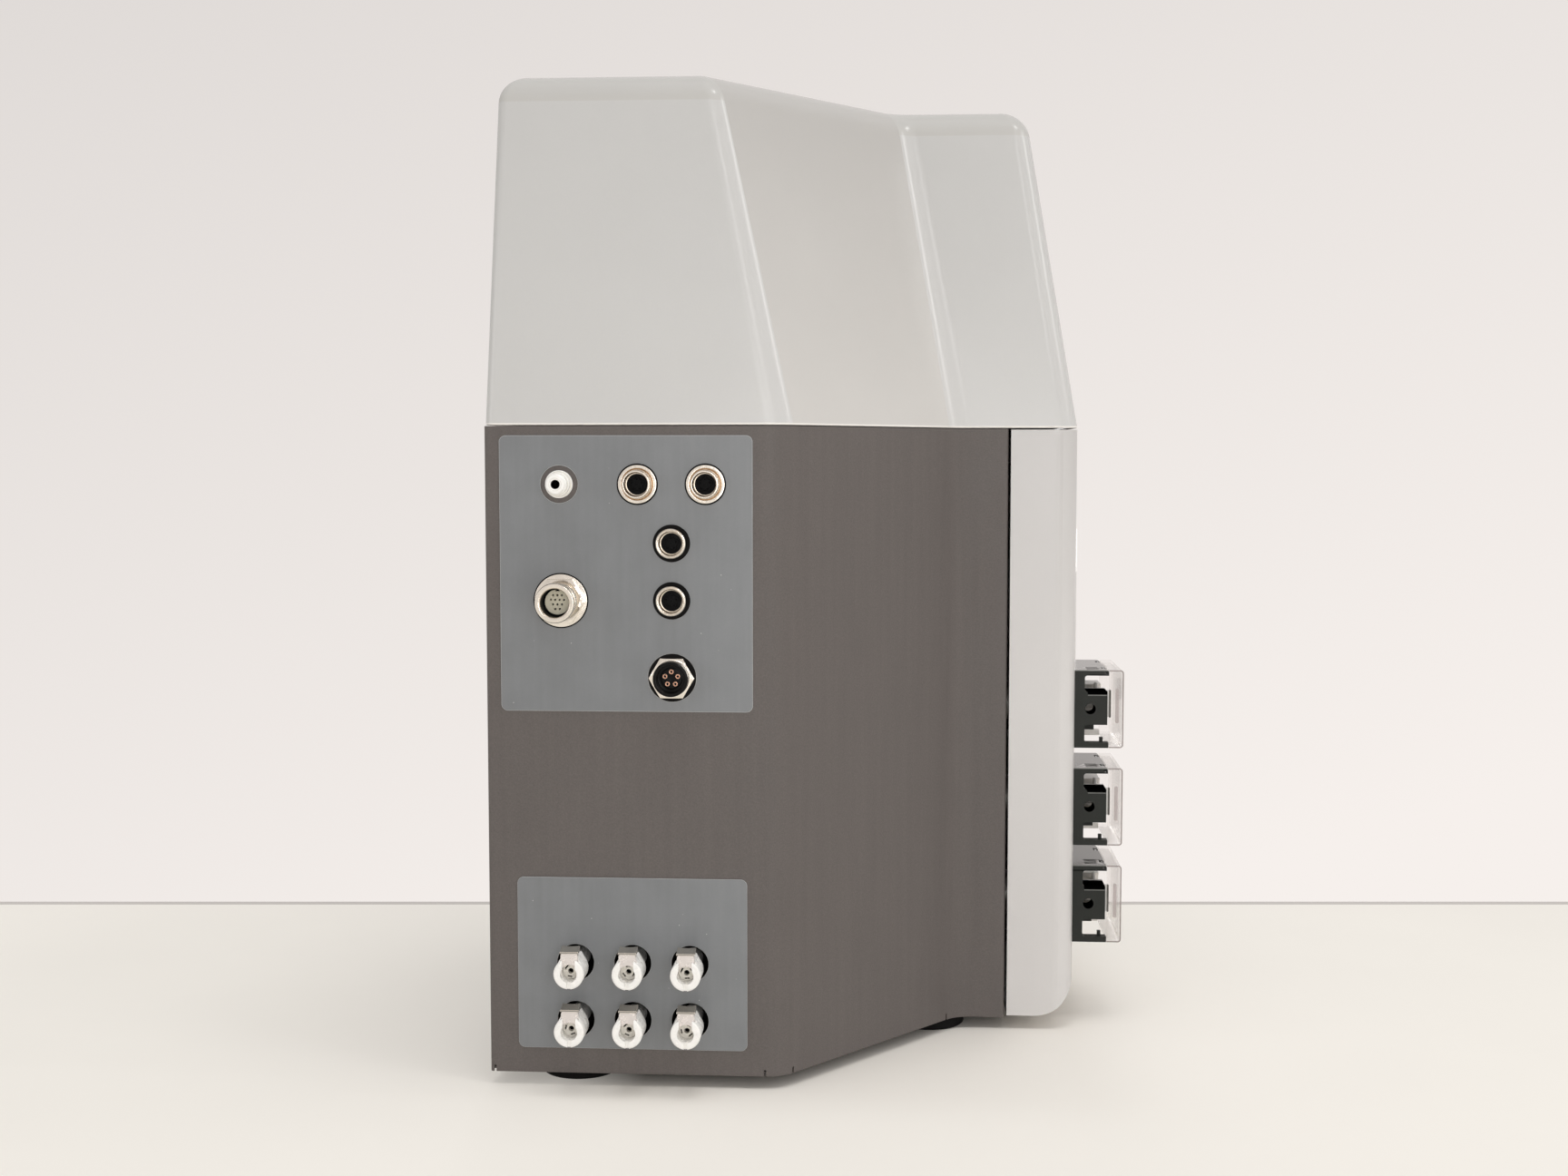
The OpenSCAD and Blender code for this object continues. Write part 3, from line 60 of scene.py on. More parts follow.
finishes = {
    # screen colour; roughness from low to high; specular; grain: size in millimetres, bump and
    # tint; broad cloud: size and strength; and, where a finish has them, metallic, streaks
    # (sizes along x, y and z, strength), specks (screen colour, spacing, radius as a share of
    # it), painted shading, a ramp of painted light and shade (axis, start and stop, factor at
    # each) and clear (what passes, share of the surface left face-on and edge-on)
    "powderCoat": ((99, 93, 90), (0.46, 0.6), 0.36, (0.9, 0.25, 0.11), (40, 0.035),
                   {"streaks": ((7, 7, 160), 0.035)}),
    # hoodShell: its ramp is painted shade, darker towards the top
    "hoodShell": ((207, 206, 204), (0.19, 0.25), 0.5, (0.8, 0.05, 0.01), (110, 0.014),
                  {"paintedShading": ("Z", 465, 690, 1.0, 0.945)}),
    # hoodTopShade: the top rounding, painted darker than the shell as shade, and darker still upwards
    "hoodTopShade": ((207, 205, 201), (0.19, 0.25), 0.5, (0.8, 0.05, 0.01), (110, 0.014),
                {"paintedShading": ("Z", 674, 684, 0.9, 0.81)}),
    # hoodSlantShade: the slanted side, painted darker than the others as shade, and darker still upwards
    "hoodSlantShade": ((206, 203, 199), (0.19, 0.25), 0.5, (0.8, 0.05, 0.01), (110, 0.014),
                  {"paintedShading": ("Z", 465, 690, 1.0, 0.79)}),
    # hoodLipHighlight: a painted highlight along the hood's bottom edge
    "hoodLipHighlight": ((240, 236, 231), (0.2, 0.3), 0.5, (0.8, 0.03, 0.01), (60, 0.03)),
    # fasciaShell: its ramp is painted shade, darker towards the top
    "fasciaShell": ((217, 214, 212), (0.32, 0.42), 0.5, (0.8, 0.05, 0.01), (110, 0.012),
                    {"paintedShading": ("Z", 250, 460, 1.0, 0.865)}),
    "plateFilm": ((125, 127, 129), (0.34, 0.46), 0.5, (0.5, 0.05, 0.03), (26, 0.045),
                  {"streaks": ((5, 5, 90), 0.03), "specks": ((204, 204, 202), 11, 0.034),
                   # painted light: the plates grow lighter towards the front
                   "paintedShading": ("X", -130, -45, 1.0, 1.08)}),
    "plateEdge": ((186, 188, 188), (0.4, 0.5), 0.45, (0.5, 0.05, 0.03), (9, 0.1)),
    "nickel": ((236, 229, 218), (0.12, 0.22), 0.5, (0.3, 0.03, 0.03), (4, 0.05), {"metallic": 1.0}),
    "nickelDull": ((208, 196, 180), (0.24, 0.36), 0.5, (0.3, 0.04, 0.05), (2.5, 0.1), {"metallic": 1.0}),
    "brass": ((168, 134, 98), (0.2, 0.32), 0.5, (0.3, 0.03, 0.06), (2.5, 0.12), {"metallic": 1.0}),
    "steel": ((178, 176, 171), (0.28, 0.42), 0.5, (0.25, 0.05, 0.05), (6, 0.05),
              {"metallic": 1.0, "streaks": ((9, 0.4, 0.4), 0.08)}),
    "latchTab": ((146, 143, 137), (0.4, 0.55), 0.4, (0.4, 0.05, 0.05), (4, 0.08), {"metallic": 0.5}),
    "latchSteel": ((231, 224, 220), (0.2, 0.32), 0.5, (0.3, 0.03, 0.03), (4, 0.04), {"metallic": 0.35}),
    "blackenedSteel": ((8, 8, 8), (0.6, 0.7), 0.08, (0.5, 0.06, 0.1), (8, 0.1)),
    "acetal": ((252, 250, 246), (0.22, 0.34), 0.5, (0.8, 0.03, 0.008), (6, 0.018)),
    "acetalGrey": ((232, 228, 219), (0.3, 0.42), 0.45, (0.8, 0.03, 0.02), (2.2, 0.05)),
    "blackMoulding": ((37, 39, 36), (0.42, 0.56), 0.24, (0.5, 0.07, 0.08), (9, 0.08)),
    "paleMoulding": ((228, 225, 221), (0.3, 0.42), 0.45, (0.8, 0.03, 0.015), (9, 0.03)),
    # glossyPaintedLightTop: the pump arms' tops, glossier and painted lighter than the sides as light from
    # above
    "glossyPaintedLightTop": ((52, 49, 47), (0.07, 0.14), 0.5, (0.5, 0.03, 0.08), (9, 0.1)),
    "blackGloss": ((9, 8, 8), (0.16, 0.24), 0.16, (0.8, 0.02, 0.1), (6, 0.1)),
    # blackInsertAndPaintedShade: the sockets' black inserts, and black painted shade in bores, holes and
    # slits
    "blackInsertAndPaintedShade": ((5, 5, 6), (0.4, 0.5), 0.1, (0.3, 0.05, 0.1), (3, 0.12)),
    # paintedShade: black painted shade for gaps, holes and recesses
    "paintedShade": ((3, 3, 3), (0.8, 0.9), 0.0, (0.5, 0.02, 0.1), (6, 0.1)),
    "rubber": ((14, 13, 13), (0.6, 0.75), 0.12, (0.5, 0.1, 0.1), (8, 0.12)),
    "creamInsert": ((240, 232, 208), (0.4, 0.5), 0.4, (0.5, 0.04, 0.02), (4, 0.04)),
    "copper": ((212, 168, 144), (0.2, 0.34), 0.5, (0.2, 0.04, 0.08), (1, 0.12), {"metallic": 1.0}),
    "clearPlastic": ((240, 237, 235), (0.04, 0.09), 0.5, (4, 0.01, 0.01), (20, 0.01),
                     {"clear": ((0.985, 0.98, 0.977), (0.01, 0.45))}),
    # clearEdgePaintedShade: painted shade for the dark edge-on look of the clear covers
    "clearEdgePaintedShade": ((166, 156, 153), (0.1, 0.2), 0.5, (2, 0.02, 0.03), (8, 0.1),
                  {"clear": ((0.86, 0.83, 0.82), (0.55, 0.85))}),
    "frosted": ((214, 206, 204), (0.3, 0.4), 0.2, (1, 0.05, 0.02), (8, 0.04),
                {"clear": ((0.94, 0.92, 0.92), (0.4, 0.5))}),
    # paintedEdgeHighlight: a painted highlight for lines along the pumps' edges
    "paintedEdgeHighlight": ((112, 113, 110), (0.3, 0.4), 0.4, (0.5, 0.05, 0.08), (5, 0.15)),
    "trackGrey": ((84, 82, 76), (0.4, 0.5), 0.3, (0.5, 0.03, 0.05), (5, 0.12)),
    "screenGlass": ((20, 22, 25), (0.05, 0.09), 0.5, (3, 0.005, 0.05), (40, 0.06)),
    "bezel": ((52, 52, 54), (0.35, 0.5), 0.4, (0.5, 0.06, 0.06), (20, 0.04)),
    "circuitBoard": ((38, 92, 58), (0.35, 0.5), 0.4, (1.5, 0.06, 0.25), (8, 0.15)),
}
finishRule = {
    "seeds": (1.0, 7.0, 13.0), "details": (3, 4, 2),  # of the grain, the broad cloud and the streaks
    "grainHeight": 0.4,  # of the grain's bump, in millimetres
    "speckCore": 0.6,  # share of a speck's radius that has its full colour
    "edgeBlend": 0.35, "edgeRange": (0.02, 0.9),  # how clear plastic goes from face-on to edge-on
}


def feed(tree, node, inputs):
    # each input takes its number or colour, or is joined to its socket
    for socket, value in inputs.items():
        if isinstance(value, bpy.types.NodeSocket):
            tree.links.new(value, node.inputs[socket])
        else:
            node.inputs[socket].default_value = value
    return node


def addNode(tree, kind, inputs, **settings):
    node = tree.nodes.new("ShaderNode" + kind)
    for setting, value in settings.items():
        setattr(node, setting, value)
    return feed(tree, node, inputs)


def cloud(tree, place, sizeMm, layer):
    # a cloud whose lumps measure sizeMm, one number or one for each axis
    scale = 1000.0 / (np.ones(3) * sizeMm)
    turn = addNode(tree, "Mapping", {"Vector": place, "Scale": scale}).outputs["Vector"]
    inputs = {"Vector": turn, "W": finishRule["seeds"][layer], "Scale": 1.0,
              "Detail": finishRule["details"][layer]}
    return addNode(tree, "TexNoise", inputs, noise_dimensions="4D").outputs["Fac"]


def spread(tree, value, low, high, start=0.3, stop=0.7):
    # low where the value is start, high where it is stop
    return addNode(tree, "MapRange", {"Value": value, "From Min": start, "From Max": stop,
                                      "To Min": low, "To Max": high}).outputs["Result"]


def varied(tree, value, strength):
    return spread(tree, value, 1 - strength, 1 + strength)


def reckon(tree, operation, a, b):
    return addNode(tree, "Math", {0: a, 1: b}, operation=operation).outputs[0]


def mixed(tree, factor, a, b, blend="MIX"):
    return addNode(tree, "Mix", {"Factor": factor, "A": a, "B": b},
                   data_type="RGBA", blend_type=blend).outputs["Result"]


def mixedShader(tree, share, a, b):
    return addNode(tree, "MixShader", {"Fac": share, 1: a, 2: b}).outputs[0]


def makeFinish(name, screen, roughness, specular, grainSpec, cloudSpec, more=None):
    # base colour = colour x (1 +- tint by the grain) x (1 +- strength by the broad cloud)
    # x (1 +- strength by the streaks) x the ramp of painted light and shade; roughness runs
    # between its two ends with the broad cloud; the grain gives the bump
    more = more or {}
    grainMm, grainBump, tint = grainSpec
    cloudMm, cloudStrength = cloudSpec
    material = bpy.data.materials.new(name)
    material.use_nodes = True
    tree = material.node_tree
    place = addNode(tree, "TexCoord", {}).outputs["Object"]
    grain = cloud(tree, place, grainMm, 0)
    broad = cloud(tree, place, cloudMm, 1)
    shade = reckon(tree, "MULTIPLY", varied(tree, grain, tint), varied(tree, broad, cloudStrength))
    if "streaks" in more:
        streakMm, strength = more["streaks"]
        streaks = cloud(tree, place, streakMm, 2)
        shade = reckon(tree, "MULTIPLY", shade, varied(tree, streaks, strength))
    colour = mixed(tree, 1.0, srgb(*screen), shade, "MULTIPLY")
    if "specks" in more:
        speckScreen, speckMm, radius = more["specks"]
        cells = addNode(tree, "TexVoronoi", {"Vector": place, "Scale": 1000.0 / speckMm})
        core = radius * finishRule["speckCore"]
        inside = spread(tree, cells.outputs["Distance"], 1.0, 0.0, core, radius)
        colour = mixed(tree, inside, colour, srgb(*speckScreen))
    # painted light and shade: the colour is scaled from one factor to the other along an axis
    if "paintedShading" in more:
        axis, start, stop, low, high = more["paintedShading"]
        along = addNode(tree, "SeparateXYZ", {0: place}).outputs[axis]
        factor = spread(tree, along, low, high, start * mm, stop * mm)
        colour = mixed(tree, 1.0, colour, factor, "MULTIPLY")
    bump = addNode(tree, "Bump", {"Strength": grainBump, "Height": grain,
                                  "Distance": finishRule["grainHeight"] * mm})
    shader = feed(tree, tree.nodes["Principled BSDF"], {
        "Base Color": colour, "Roughness": spread(tree, broad, *roughness),
        "Metallic": more.get("metallic", 0.0), "Specular IOR Level": specular,
        "Normal": bump.outputs["Normal"]})
    if "clear" in more:
        # lets lamp light and the view straight through, and keeps the gloss on top
        passes, (faceOn, edgeOn) = more["clear"]
        through = addNode(tree, "BsdfTransparent", {"Color": (*passes, 1.0)}).outputs["BSDF"]
        edge = addNode(tree, "LayerWeight", {"Blend": finishRule["edgeBlend"]}).outputs["Fresnel"]
        left = spread(tree, edge, faceOn, edgeOn, *finishRule["edgeRange"])
        surface = mixedShader(tree, left, through, shader.outputs["BSDF"])
        feed(tree, tree.nodes["Material Output"], {"Surface": surface})
    return material


finish = {name: makeFinish(name, *spec) for name, spec in finishes.items()}
print("finishes made:", len(finish))

meshRule = {
    # in millimetres, how near points of a made piece and of a CAD copy merge and how thin a
    # face may be; in degrees, the bend under which a CAD copy's facets become one face
    "madeMerge": 0.002, "copyMerge": 0.004, "thinnest": 0.001, "flat": 0.6,
}


def addPiece(name, points, faces, materials, body="cabinet", index=None, sharp=30, at=None):
    # points in millimetres from the cabinet's corner, or from the place at, in metres
    base = origin if at is None else np.asarray(at)
    mesh = bpy.data.meshes.new(name)
    places = np.asarray(points, dtype=float) * mm + base
    mesh.from_pydata(places.tolist(), [], [list(f) for f in faces])
    if index is not None:
        mesh.polygons.foreach_set("material_index", np.asarray(index, dtype=np.int32))
    work = bmesh.new()
    work.from_mesh(mesh)
    bmesh.ops.remove_doubles(work, verts=work.verts, dist=meshRule["madeMerge"] * mm)
    bmesh.ops.dissolve_degenerate(work, dist=meshRule["thinnest"] * mm, edges=work.edges)
    bmesh.ops.recalc_face_normals(work, faces=work.faces)
    work.to_mesh(mesh)
    work.free()
    return dress(bpy.data.objects.new(name, mesh), materials, body, sharp)


def dress(piece, materials, body, sharp):
    bpy.context.scene.collection.objects.link(piece)
    mesh = piece.data
    for material in materials:
        mesh.materials.append(finish[material])
    mesh.polygons.foreach_set("use_smooth", np.ones(len(mesh.polygons), dtype=bool))
    mesh.set_sharp_from_angle(angle=math.radians(sharp))
    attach(piece, body)
    return piece


def soften(piece, width, segments=2, angle=30, edgeMaterial=-1):
    bevel = piece.modifiers.new("eased edges", "BEVEL")
    bevel.width = width * mm
    bevel.segments = segments
    bevel.limit_method = "ANGLE"
    bevel.angle_limit = math.radians(angle)
    bevel.harden_normals = True
    bevel.material = edgeMaterial
    bevel.miter_outer = "MITER_ARC"
    return piece


def fromNode(node, name, materials, width=0.3, body="cabinet", sharp=30, segments=2, edgeMaterial=-1):
    # a merged copy of a CAD node, with its edges eased by the width, which replaces the node
    mesh = nodes[node].data.copy()
    mesh.name = name
    mesh.materials.clear()
    work = bmesh.new()
    work.from_mesh(mesh)
    bmesh.ops.remove_doubles(work, verts=work.verts, dist=meshRule["copyMerge"] * mm)
    flat = math.radians(meshRule["flat"])
    bmesh.ops.dissolve_limit(work, angle_limit=flat, verts=work.verts, edges=work.edges)
    work.to_mesh(mesh)
    work.free()
    mesh.polygons.foreach_set("material_index", np.zeros(len(mesh.polygons), dtype=np.int32))
    piece = dress(bpy.data.objects.new(name, mesh), materials, body, sharp)
    if width:
        soften(piece, width, segments, sharp, edgeMaterial)
    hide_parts(node)
    return piece


def gridFaces(rows, columns, closed=True, start=0):
    # quads between neighbouring rows of a grid, wrapped round in each row where closed
    reach = columns if closed else columns - 1
    row, column = np.meshgrid(np.arange(rows - 1), np.arange(reach), indexing="ij")
    nextColumn = (column + 1) % columns
    corners = [row * columns + column, row * columns + nextColumn,
               (row + 1) * columns + nextColumn, (row + 1) * columns + column]
    return np.stack(corners, axis=-1).reshape(-1, 4) + start


def easeCorners(profile, reach, steps=3, share=0.42):
    # each corner becomes a quadratic curve from reach before it to reach after it, or from
    # that share of an edge that is short
    points = np.asarray([p[:2] for p in profile], dtype=float)
    kind = np.asarray([p[2] if len(p) > 2 else 0 for p in profile])
    before = np.roll(points, 1, axis=0) - points
    after = np.roll(points, -1, axis=0) - points
    lengthBefore = np.maximum(np.linalg.norm(before, axis=1, keepdims=True), 1e-9)
    lengthAfter = np.maximum(np.linalg.norm(after, axis=1, keepdims=True), 1e-9)
    first = points + before / lengthBefore * np.minimum(reach, share * lengthBefore)
    last = points + after / lengthAfter * np.minimum(reach, share * lengthAfter)
    t = np.linspace(0, 1, steps + 1)[None, :, None]
    curve = ((1 - t) ** 2 * first[:, None] + 2 * t * (1 - t) * points[:, None]
             + t ** 2 * last[:, None])
    onAxis = points[:, 0] < 1e-6
    curve[onAxis] = points[onAxis][:, None]
    kinds = np.repeat(kind[:, None], steps + 1, axis=1)
    kinds[:, : (steps + 1) // 2] = np.roll(kind, 1)[:, None]
    return curve.reshape(-1, 2), kinds.reshape(-1)


def facing(local):
    # the local axis w points out of the port side
    u, v, w = local[..., 0], local[..., 1], local[..., 2]
    return np.stack([u, -w, v], axis=-1)


def turned(name, profile, centre, materials, reach=0.25, around=96, spots=((0.0, 0.0),)):
    # profile points (radius, height, finish number) turned about the axis into a closed ring:
    # (radius cos a, radius sin a, height) for each angle a; one such solid stands at each spot
    curve, kind = easeCorners(profile, reach)
    curve = np.vstack([curve, curve[:1]])
    angle = np.linspace(0, 2 * math.pi, around, endpoint=False)
    x, y = curve[:, :1] * np.cos(angle), curve[:, :1] * np.sin(angle)
    grid = np.stack([x, y, np.broadcast_to(curve[:, 1:], x.shape)], axis=-1).reshape(-1, 3)
    local = np.concatenate([grid + (across, up, 0.0) for across, up in spots])
    faces = np.concatenate([gridFaces(len(curve), around, True, k * len(grid)) for k in range(len(spots))])
    index = np.tile(np.repeat(kind, around), len(spots))
    return addPiece(name, facing(local), faces, materials, index=index, sharp=35, at=centre)


squareOn = 0.9  # a face whose normal has this much of an axis counts as facing along it


def portCentre(node):
    # middle of a port's node along the cabinet and up, in the plane of the panel
    low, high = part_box(node)
    return np.array([(low[0] + high[0]) / 2, origin[1], (low[2] + high[2]) / 2])


def vertexPlaces(piece):
    places = np.empty(3 * len(piece.data.vertices))
    piece.data.vertices.foreach_get("co", places)
    return places.reshape(-1, 3)


def moveVertices(piece, places):
    piece.data.vertices.foreach_set("co", places.ravel())
    piece.data.update()


def paintFaces(piece, index, chosen):
    # chosen takes face centres and normals in metres and says which faces get the index
    mesh = piece.data
    centres, normals = np.empty(3 * len(mesh.polygons)), np.empty(3 * len(mesh.polygons))
    mesh.polygons.foreach_get("center", centres)
    mesh.polygons.foreach_get("normal", normals)
    old = np.empty(len(mesh.polygons), dtype=np.int32)
    mesh.polygons.foreach_get("material_index", old)
    mask = chosen(centres.reshape(-1, 3), normals.reshape(-1, 3))
    mesh.polygons.foreach_set("material_index", np.where(mask, index, old).astype(np.int32))


def nearest(x, y, spots):
    # distance from each point to the nearest of the spots
    spots = np.asarray(spots, dtype=float)
    return np.hypot(x[..., None] - spots[:, 0], y[..., None] - spots[:, 1]).min(axis=-1)


hoodShape = {
    # the bottom outline's corners, in order round the cabinet; radii are at the foot and the top
    "plan": [(0, 0), (202.9, 0), (326.3, 149.2), (415.1, 149.2), (415.1, 380), (0, 380)],
    "leans": [10, 44, 16, 40, 10, 10],  # how far each side leans in over the hood's height
    "radii": [7, 24.7, 24.7, 16, 16, 7], "radiiTop": [7, 17, 17, 14, 14, 7],
    "height": 237.0, "topFillet": 19, "seam": 456.8, "wall": 3.5,
    "lip": 0.9, "paintedLipHighlight": 1.5,  # rounding of the bottom edge, and the band above it, which carries a painted highlight
    "arcSteps": 20, "lipSteps": 4, "filletSteps": 16,
    "straightSteps": 11, "straightFrom": 0.06,  # the sides' rings start at this share of their height
    "hollowCorner": 2,  # turns the other way, so its radius grows as the sides move in
    "leastRadius": 1.0,
}


def hoodRing(insets, radii, height):
    # each side moves in by its inset and neighbours meet at new corners; an arc about
    # corner - back x radius x tan(bend / 2) + inward x radius joins them, and a corner that
    # turns the other way has its arc on the other side
    plan = np.asarray(hoodShape["plan"], dtype=float)
    ahead = np.roll(plan, -1, axis=0) - plan
    ahead /= np.linalg.norm(ahead, axis=1, keepdims=True)
    inward = np.stack([-ahead[:, 1], ahead[:, 0]], axis=1)
    start = plan + inward * np.asarray(insets)[:, None]
    back, startBack = np.roll(ahead, 1, axis=0), np.roll(start, 1, axis=0)
    crossed = back[:, 0] * ahead[:, 1] - back[:, 1] * ahead[:, 0]
    apart = start - startBack
    reach = (apart[:, 0] * ahead[:, 1] - apart[:, 1] * ahead[:, 0]) / crossed
    corner = startBack + back * reach[:, None]
    bend = np.arctan2(crossed, (back * ahead).sum(axis=1))
    signed = np.asarray(radii) * np.sign(bend)
    inwardBack = np.roll(inward, 1, axis=0)
    trim = np.asarray(radii) * np.tan(np.abs(bend) / 2)
    centre = corner - back * trim[:, None] + inwardBack * signed[:, None]
    swing = bend[:, None] * np.linspace(0, 1, hoodShape["arcSteps"] + 1)[None]
    spoke = -inwardBack * signed[:, None]
    x = centre[:, :1] + spoke[:, :1] * np.cos(swing) - spoke[:, 1:] * np.sin(swing)
    y = centre[:, 1:] + spoke[:, :1] * np.sin(swing) + spoke[:, 1:] * np.cos(swing)
    return np.stack([x.ravel(), y.ravel(), np.full(x.size, height)], axis=1)


def makeHood():
    # rings at each height: the lip's quarter round, the straight sides that lean in by
    # lean x height / full height, and the top's quarter round
    s = hoodShape
    leans = np.asarray(s["leans"], dtype=float)
    turn = np.radians(np.linspace(0, 90, s["filletSteps"] + 1))
    lip = np.radians(np.linspace(0, 90, s["lipSteps"] + 1))
    levels = [(s["lip"] * (1 - math.sin(a)), s["lip"] * (1 - math.cos(a))) for a in lip]
    shoulder = s["height"] - s["topFillet"]
    straight = [s["paintedLipHighlight"], *np.linspace(s["straightFrom"], 1, s["straightSteps"] + 1)[:-1] * shoulder]
    levels += [(0.0, float(h)) for h in straight]
    levels += [(s["topFillet"] * (1 - math.cos(a)), s["height"] - s["topFillet"] * (1 - math.sin(a)))
               for a in turn]
    foot, top = (np.asarray(s[key], dtype=float) for key in ("radii", "radiiTop"))
    rings = []
    for inset, h in levels:
        share = h / s["height"]
        radii = (1 - share) * foot + share * top
        tighter = np.maximum(s["leastRadius"], radii * (1 - inset / s["topFillet"]))
        radii = np.where(np.arange(len(radii)) == s["hollowCorner"], radii + inset, tighter)
        rings.append(hoodRing(leans * h / s["height"] + inset, radii, s["seam"] + h))
    columns = len(rings[0])
    points = np.concatenate(rings)
    faces = [list(f) for f in gridFaces(len(rings), columns)]
    faces.append(list(range((len(rings) - 1) * columns, len(rings) * columns)))
    band = np.zeros(len(faces), dtype=int)
    # band 1: the lip and the band above it, with a painted highlight
    band[: len(lip) * columns] = 1
    # band 2: the top rounding, painted darker as shade
    band[(len(lip) + len(straight)) * columns:] = 2
    # the slanted side, painted darker as shade, is the one column of faces between the second and the
    # third arc
    slant = 2 * s["arcSteps"] + 1
    band[len(lip) * columns + slant:-1:columns] = 3
    materials = ["hoodShell", "hoodLipHighlight", "hoodTopShade", "hoodSlantShade"]
    hood = addPiece("hoodCover", points, faces, materials, index=band, sharp=40)
    wall = hood.modifiers.new("wall", "SOLIDIFY")
    wall.thickness = s["wall"] * mm
    wall.offset = -1.0
    wall.use_even_offset = True
    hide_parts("hood")


makeHood()
print("hood made")

sheetMetal = {"left_side_panel": ("portSidePanel", 0.35), "right_side_panel": ("farSidePanel", 0.35),
              "rear_panel": ("rearPanel", 0.25), "base_plate": ("basePlate", 0.25)}
for node, (name, width) in sheetMetal.items():
    fromNode(node, name, ["powderCoat"], width)

fasciaShape = {
    "corner": 16, "bossIn": 9, "bossReach": 4.6, "upFromFoot": 60, "downFromTop": 30,
    # a boss's faces lie further than this behind the front, the rim's nearer than this to the back
    "bossFront": 6, "backRim": 2,
}


def makeFascia():
    # the moulded front; its upright corners are true arcs with nothing outside them, and
    # its bosses and back rim are painted black as shade, as they show in the gap behind the panels only
    fascia = fromNode("front_fascia", "frontFascia", ["fasciaShell", "paintedShade"], 0.9, segments=3)
    low, high = (np.asarray(corner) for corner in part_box("front_fascia"))
    s = fasciaShape
    points = vertexPlaces(fascia)
    radius = s["corner"] * mm
    for side, sign in ((low[1] + radius, -1), (high[1] - radius, 1)):
        spoke = points[:, :2] - (high[0] - radius, side)
        reach = np.linalg.norm(spoke, axis=1)
        outside = (spoke[:, 0] > 0) & (spoke[:, 1] * sign > 0) & (reach > radius)
        points[outside, :2] -= spoke[outside] * (1 - radius / reach[outside])[:, None]
    moveVertices(fascia, points)
    fascia.data.set_sharp_from_angle(angle=math.radians(30))
    y = np.array([low[1] + s["bossIn"] * mm, high[1] - s["bossIn"] * mm])
    z = np.array([low[2] + s["upFromFoot"] * mm, (low[2] + high[2]) / 2, high[2] - s["downFromTop"] * mm])
    axes = np.stack(np.meshgrid(y, z), axis=-1).reshape(-1, 2)

    def onBoss(c, n):
        away = nearest(c[:, 1], c[:, 2], axes)
        return (away < s["bossReach"] * mm) & (c[:, 0] < high[0] - s["bossFront"] * mm)

    # painted shade: the bosses and the back rim are black, so the gap behind the panels reads dark
    paintFaces(fascia, 1, onBoss)
    paintFaces(fascia, 1, lambda c, n: (n[:, 0] < -squareOn) & (c[:, 0] < low[0] + s["backRim"] * mm))


makeFascia()
for node, name in (("upper_port_plate", "upperPortPlate"), ("lower_port_plate", "lowerPortPlate")):
    fromNode(node, name, ["plateFilm", "plateEdge"], 0.28, edgeMaterial=1)
fromNode("feet", "rubberFeet", ["rubber"], 0.8)
print("panels made")

sensorSocket = {
    # radius, height, finish number: 0 bright nickel, 1 duller nickel, 2 brass
    "flanged": [(6.4, -14, 1), (7.9, -14, 1), (7.9, 0.05, 1), (12.9, 0.05, 0), (13.15, 0.7, 0),
                (13.0, 1.6, 0), (11.0, 1.6, 1), (10.8, 1.3, 2), (10.2, 1.3, 2), (10.1, 2.3, 1),
                (9.5, 2.5, 2), (9.45, 2.9, 1), (9.45, 4.4, 1), (9.2, 4.65, 1), (9.45, 4.9, 0),
                (9.45, 8.7, 0), (9.2, 9.0, 0), (8.35, 9.0, 2), (8.05, 8.6, 2), (7.8, 7.9, 2),
                (7.95, 7.5, 1), (7.75, 7.1, 1), (7.75, 6.3, 1), (7.72, 1.5, 1), (7.1, 1.5, 1),
                (7.1, -1.5, 1), (6.4, -1.5, 1)],
    "plain": [(6.4, -14, 1), (7.9, -14, 1), (7.9, 0.05, 1), (9.7, 0.05, 1), (9.75, 1.5, 1),
              (9.5, 2.0, 1), (10.25, 2.6, 0), (10.25, 6.2, 0), (9.6, 7.0, 0), (9.2, 7.0, 1),
              (9.05, 6.75, 1), (8.9, 7.0, 0), (8.5, 6.9, 0), (8.05, 6.3, 1), (7.8, 5.9, 1),
              (8.0, 5.5, 1), (7.8, 5.1, 1), (8.0, 4.7, 1), (7.78, 4.3, 1), (7.74, 1.5, 1),
              (7.1, 1.5, 1), (7.1, -1.5, 1), (6.4, -1.5, 1)],
    # the flanged sockets' dark ring is a painted shadow round the washer and in the plate hole; the plain
    # sockets' ring is a rubber gasket
    "flangedDarkRing": [(13.2, 0.05), (13.7, 0.05), (13.72, 0.85), (14.1, 0.86), (14.0, 1.15), (13.2, 1.2)],
    "plainDarkRing": [(9.9, 0.05), (12.4, 0.05), (12.42, 0.85), (12.8, 0.86), (12.6, 1.3), (10.4, 1.35),
                    (9.9, 0.9)],
    "insert": {"radius": 7.0, "foot": -1.5, "face": 1.5, "lobes": 5, "lobeReach": (4.9, 0.75),
               "lobeRise": 0.55, "lobeSlope": 0.3, "dimpleRadius": 1.0, "dimpleDepth": 0.25,
               "pins": 5, "pinTurn": 18, "pinRing": 3.6, "pinRadius": 0.72, "pinDepth": 0.9,
               "pinSlope": 0.18},
}


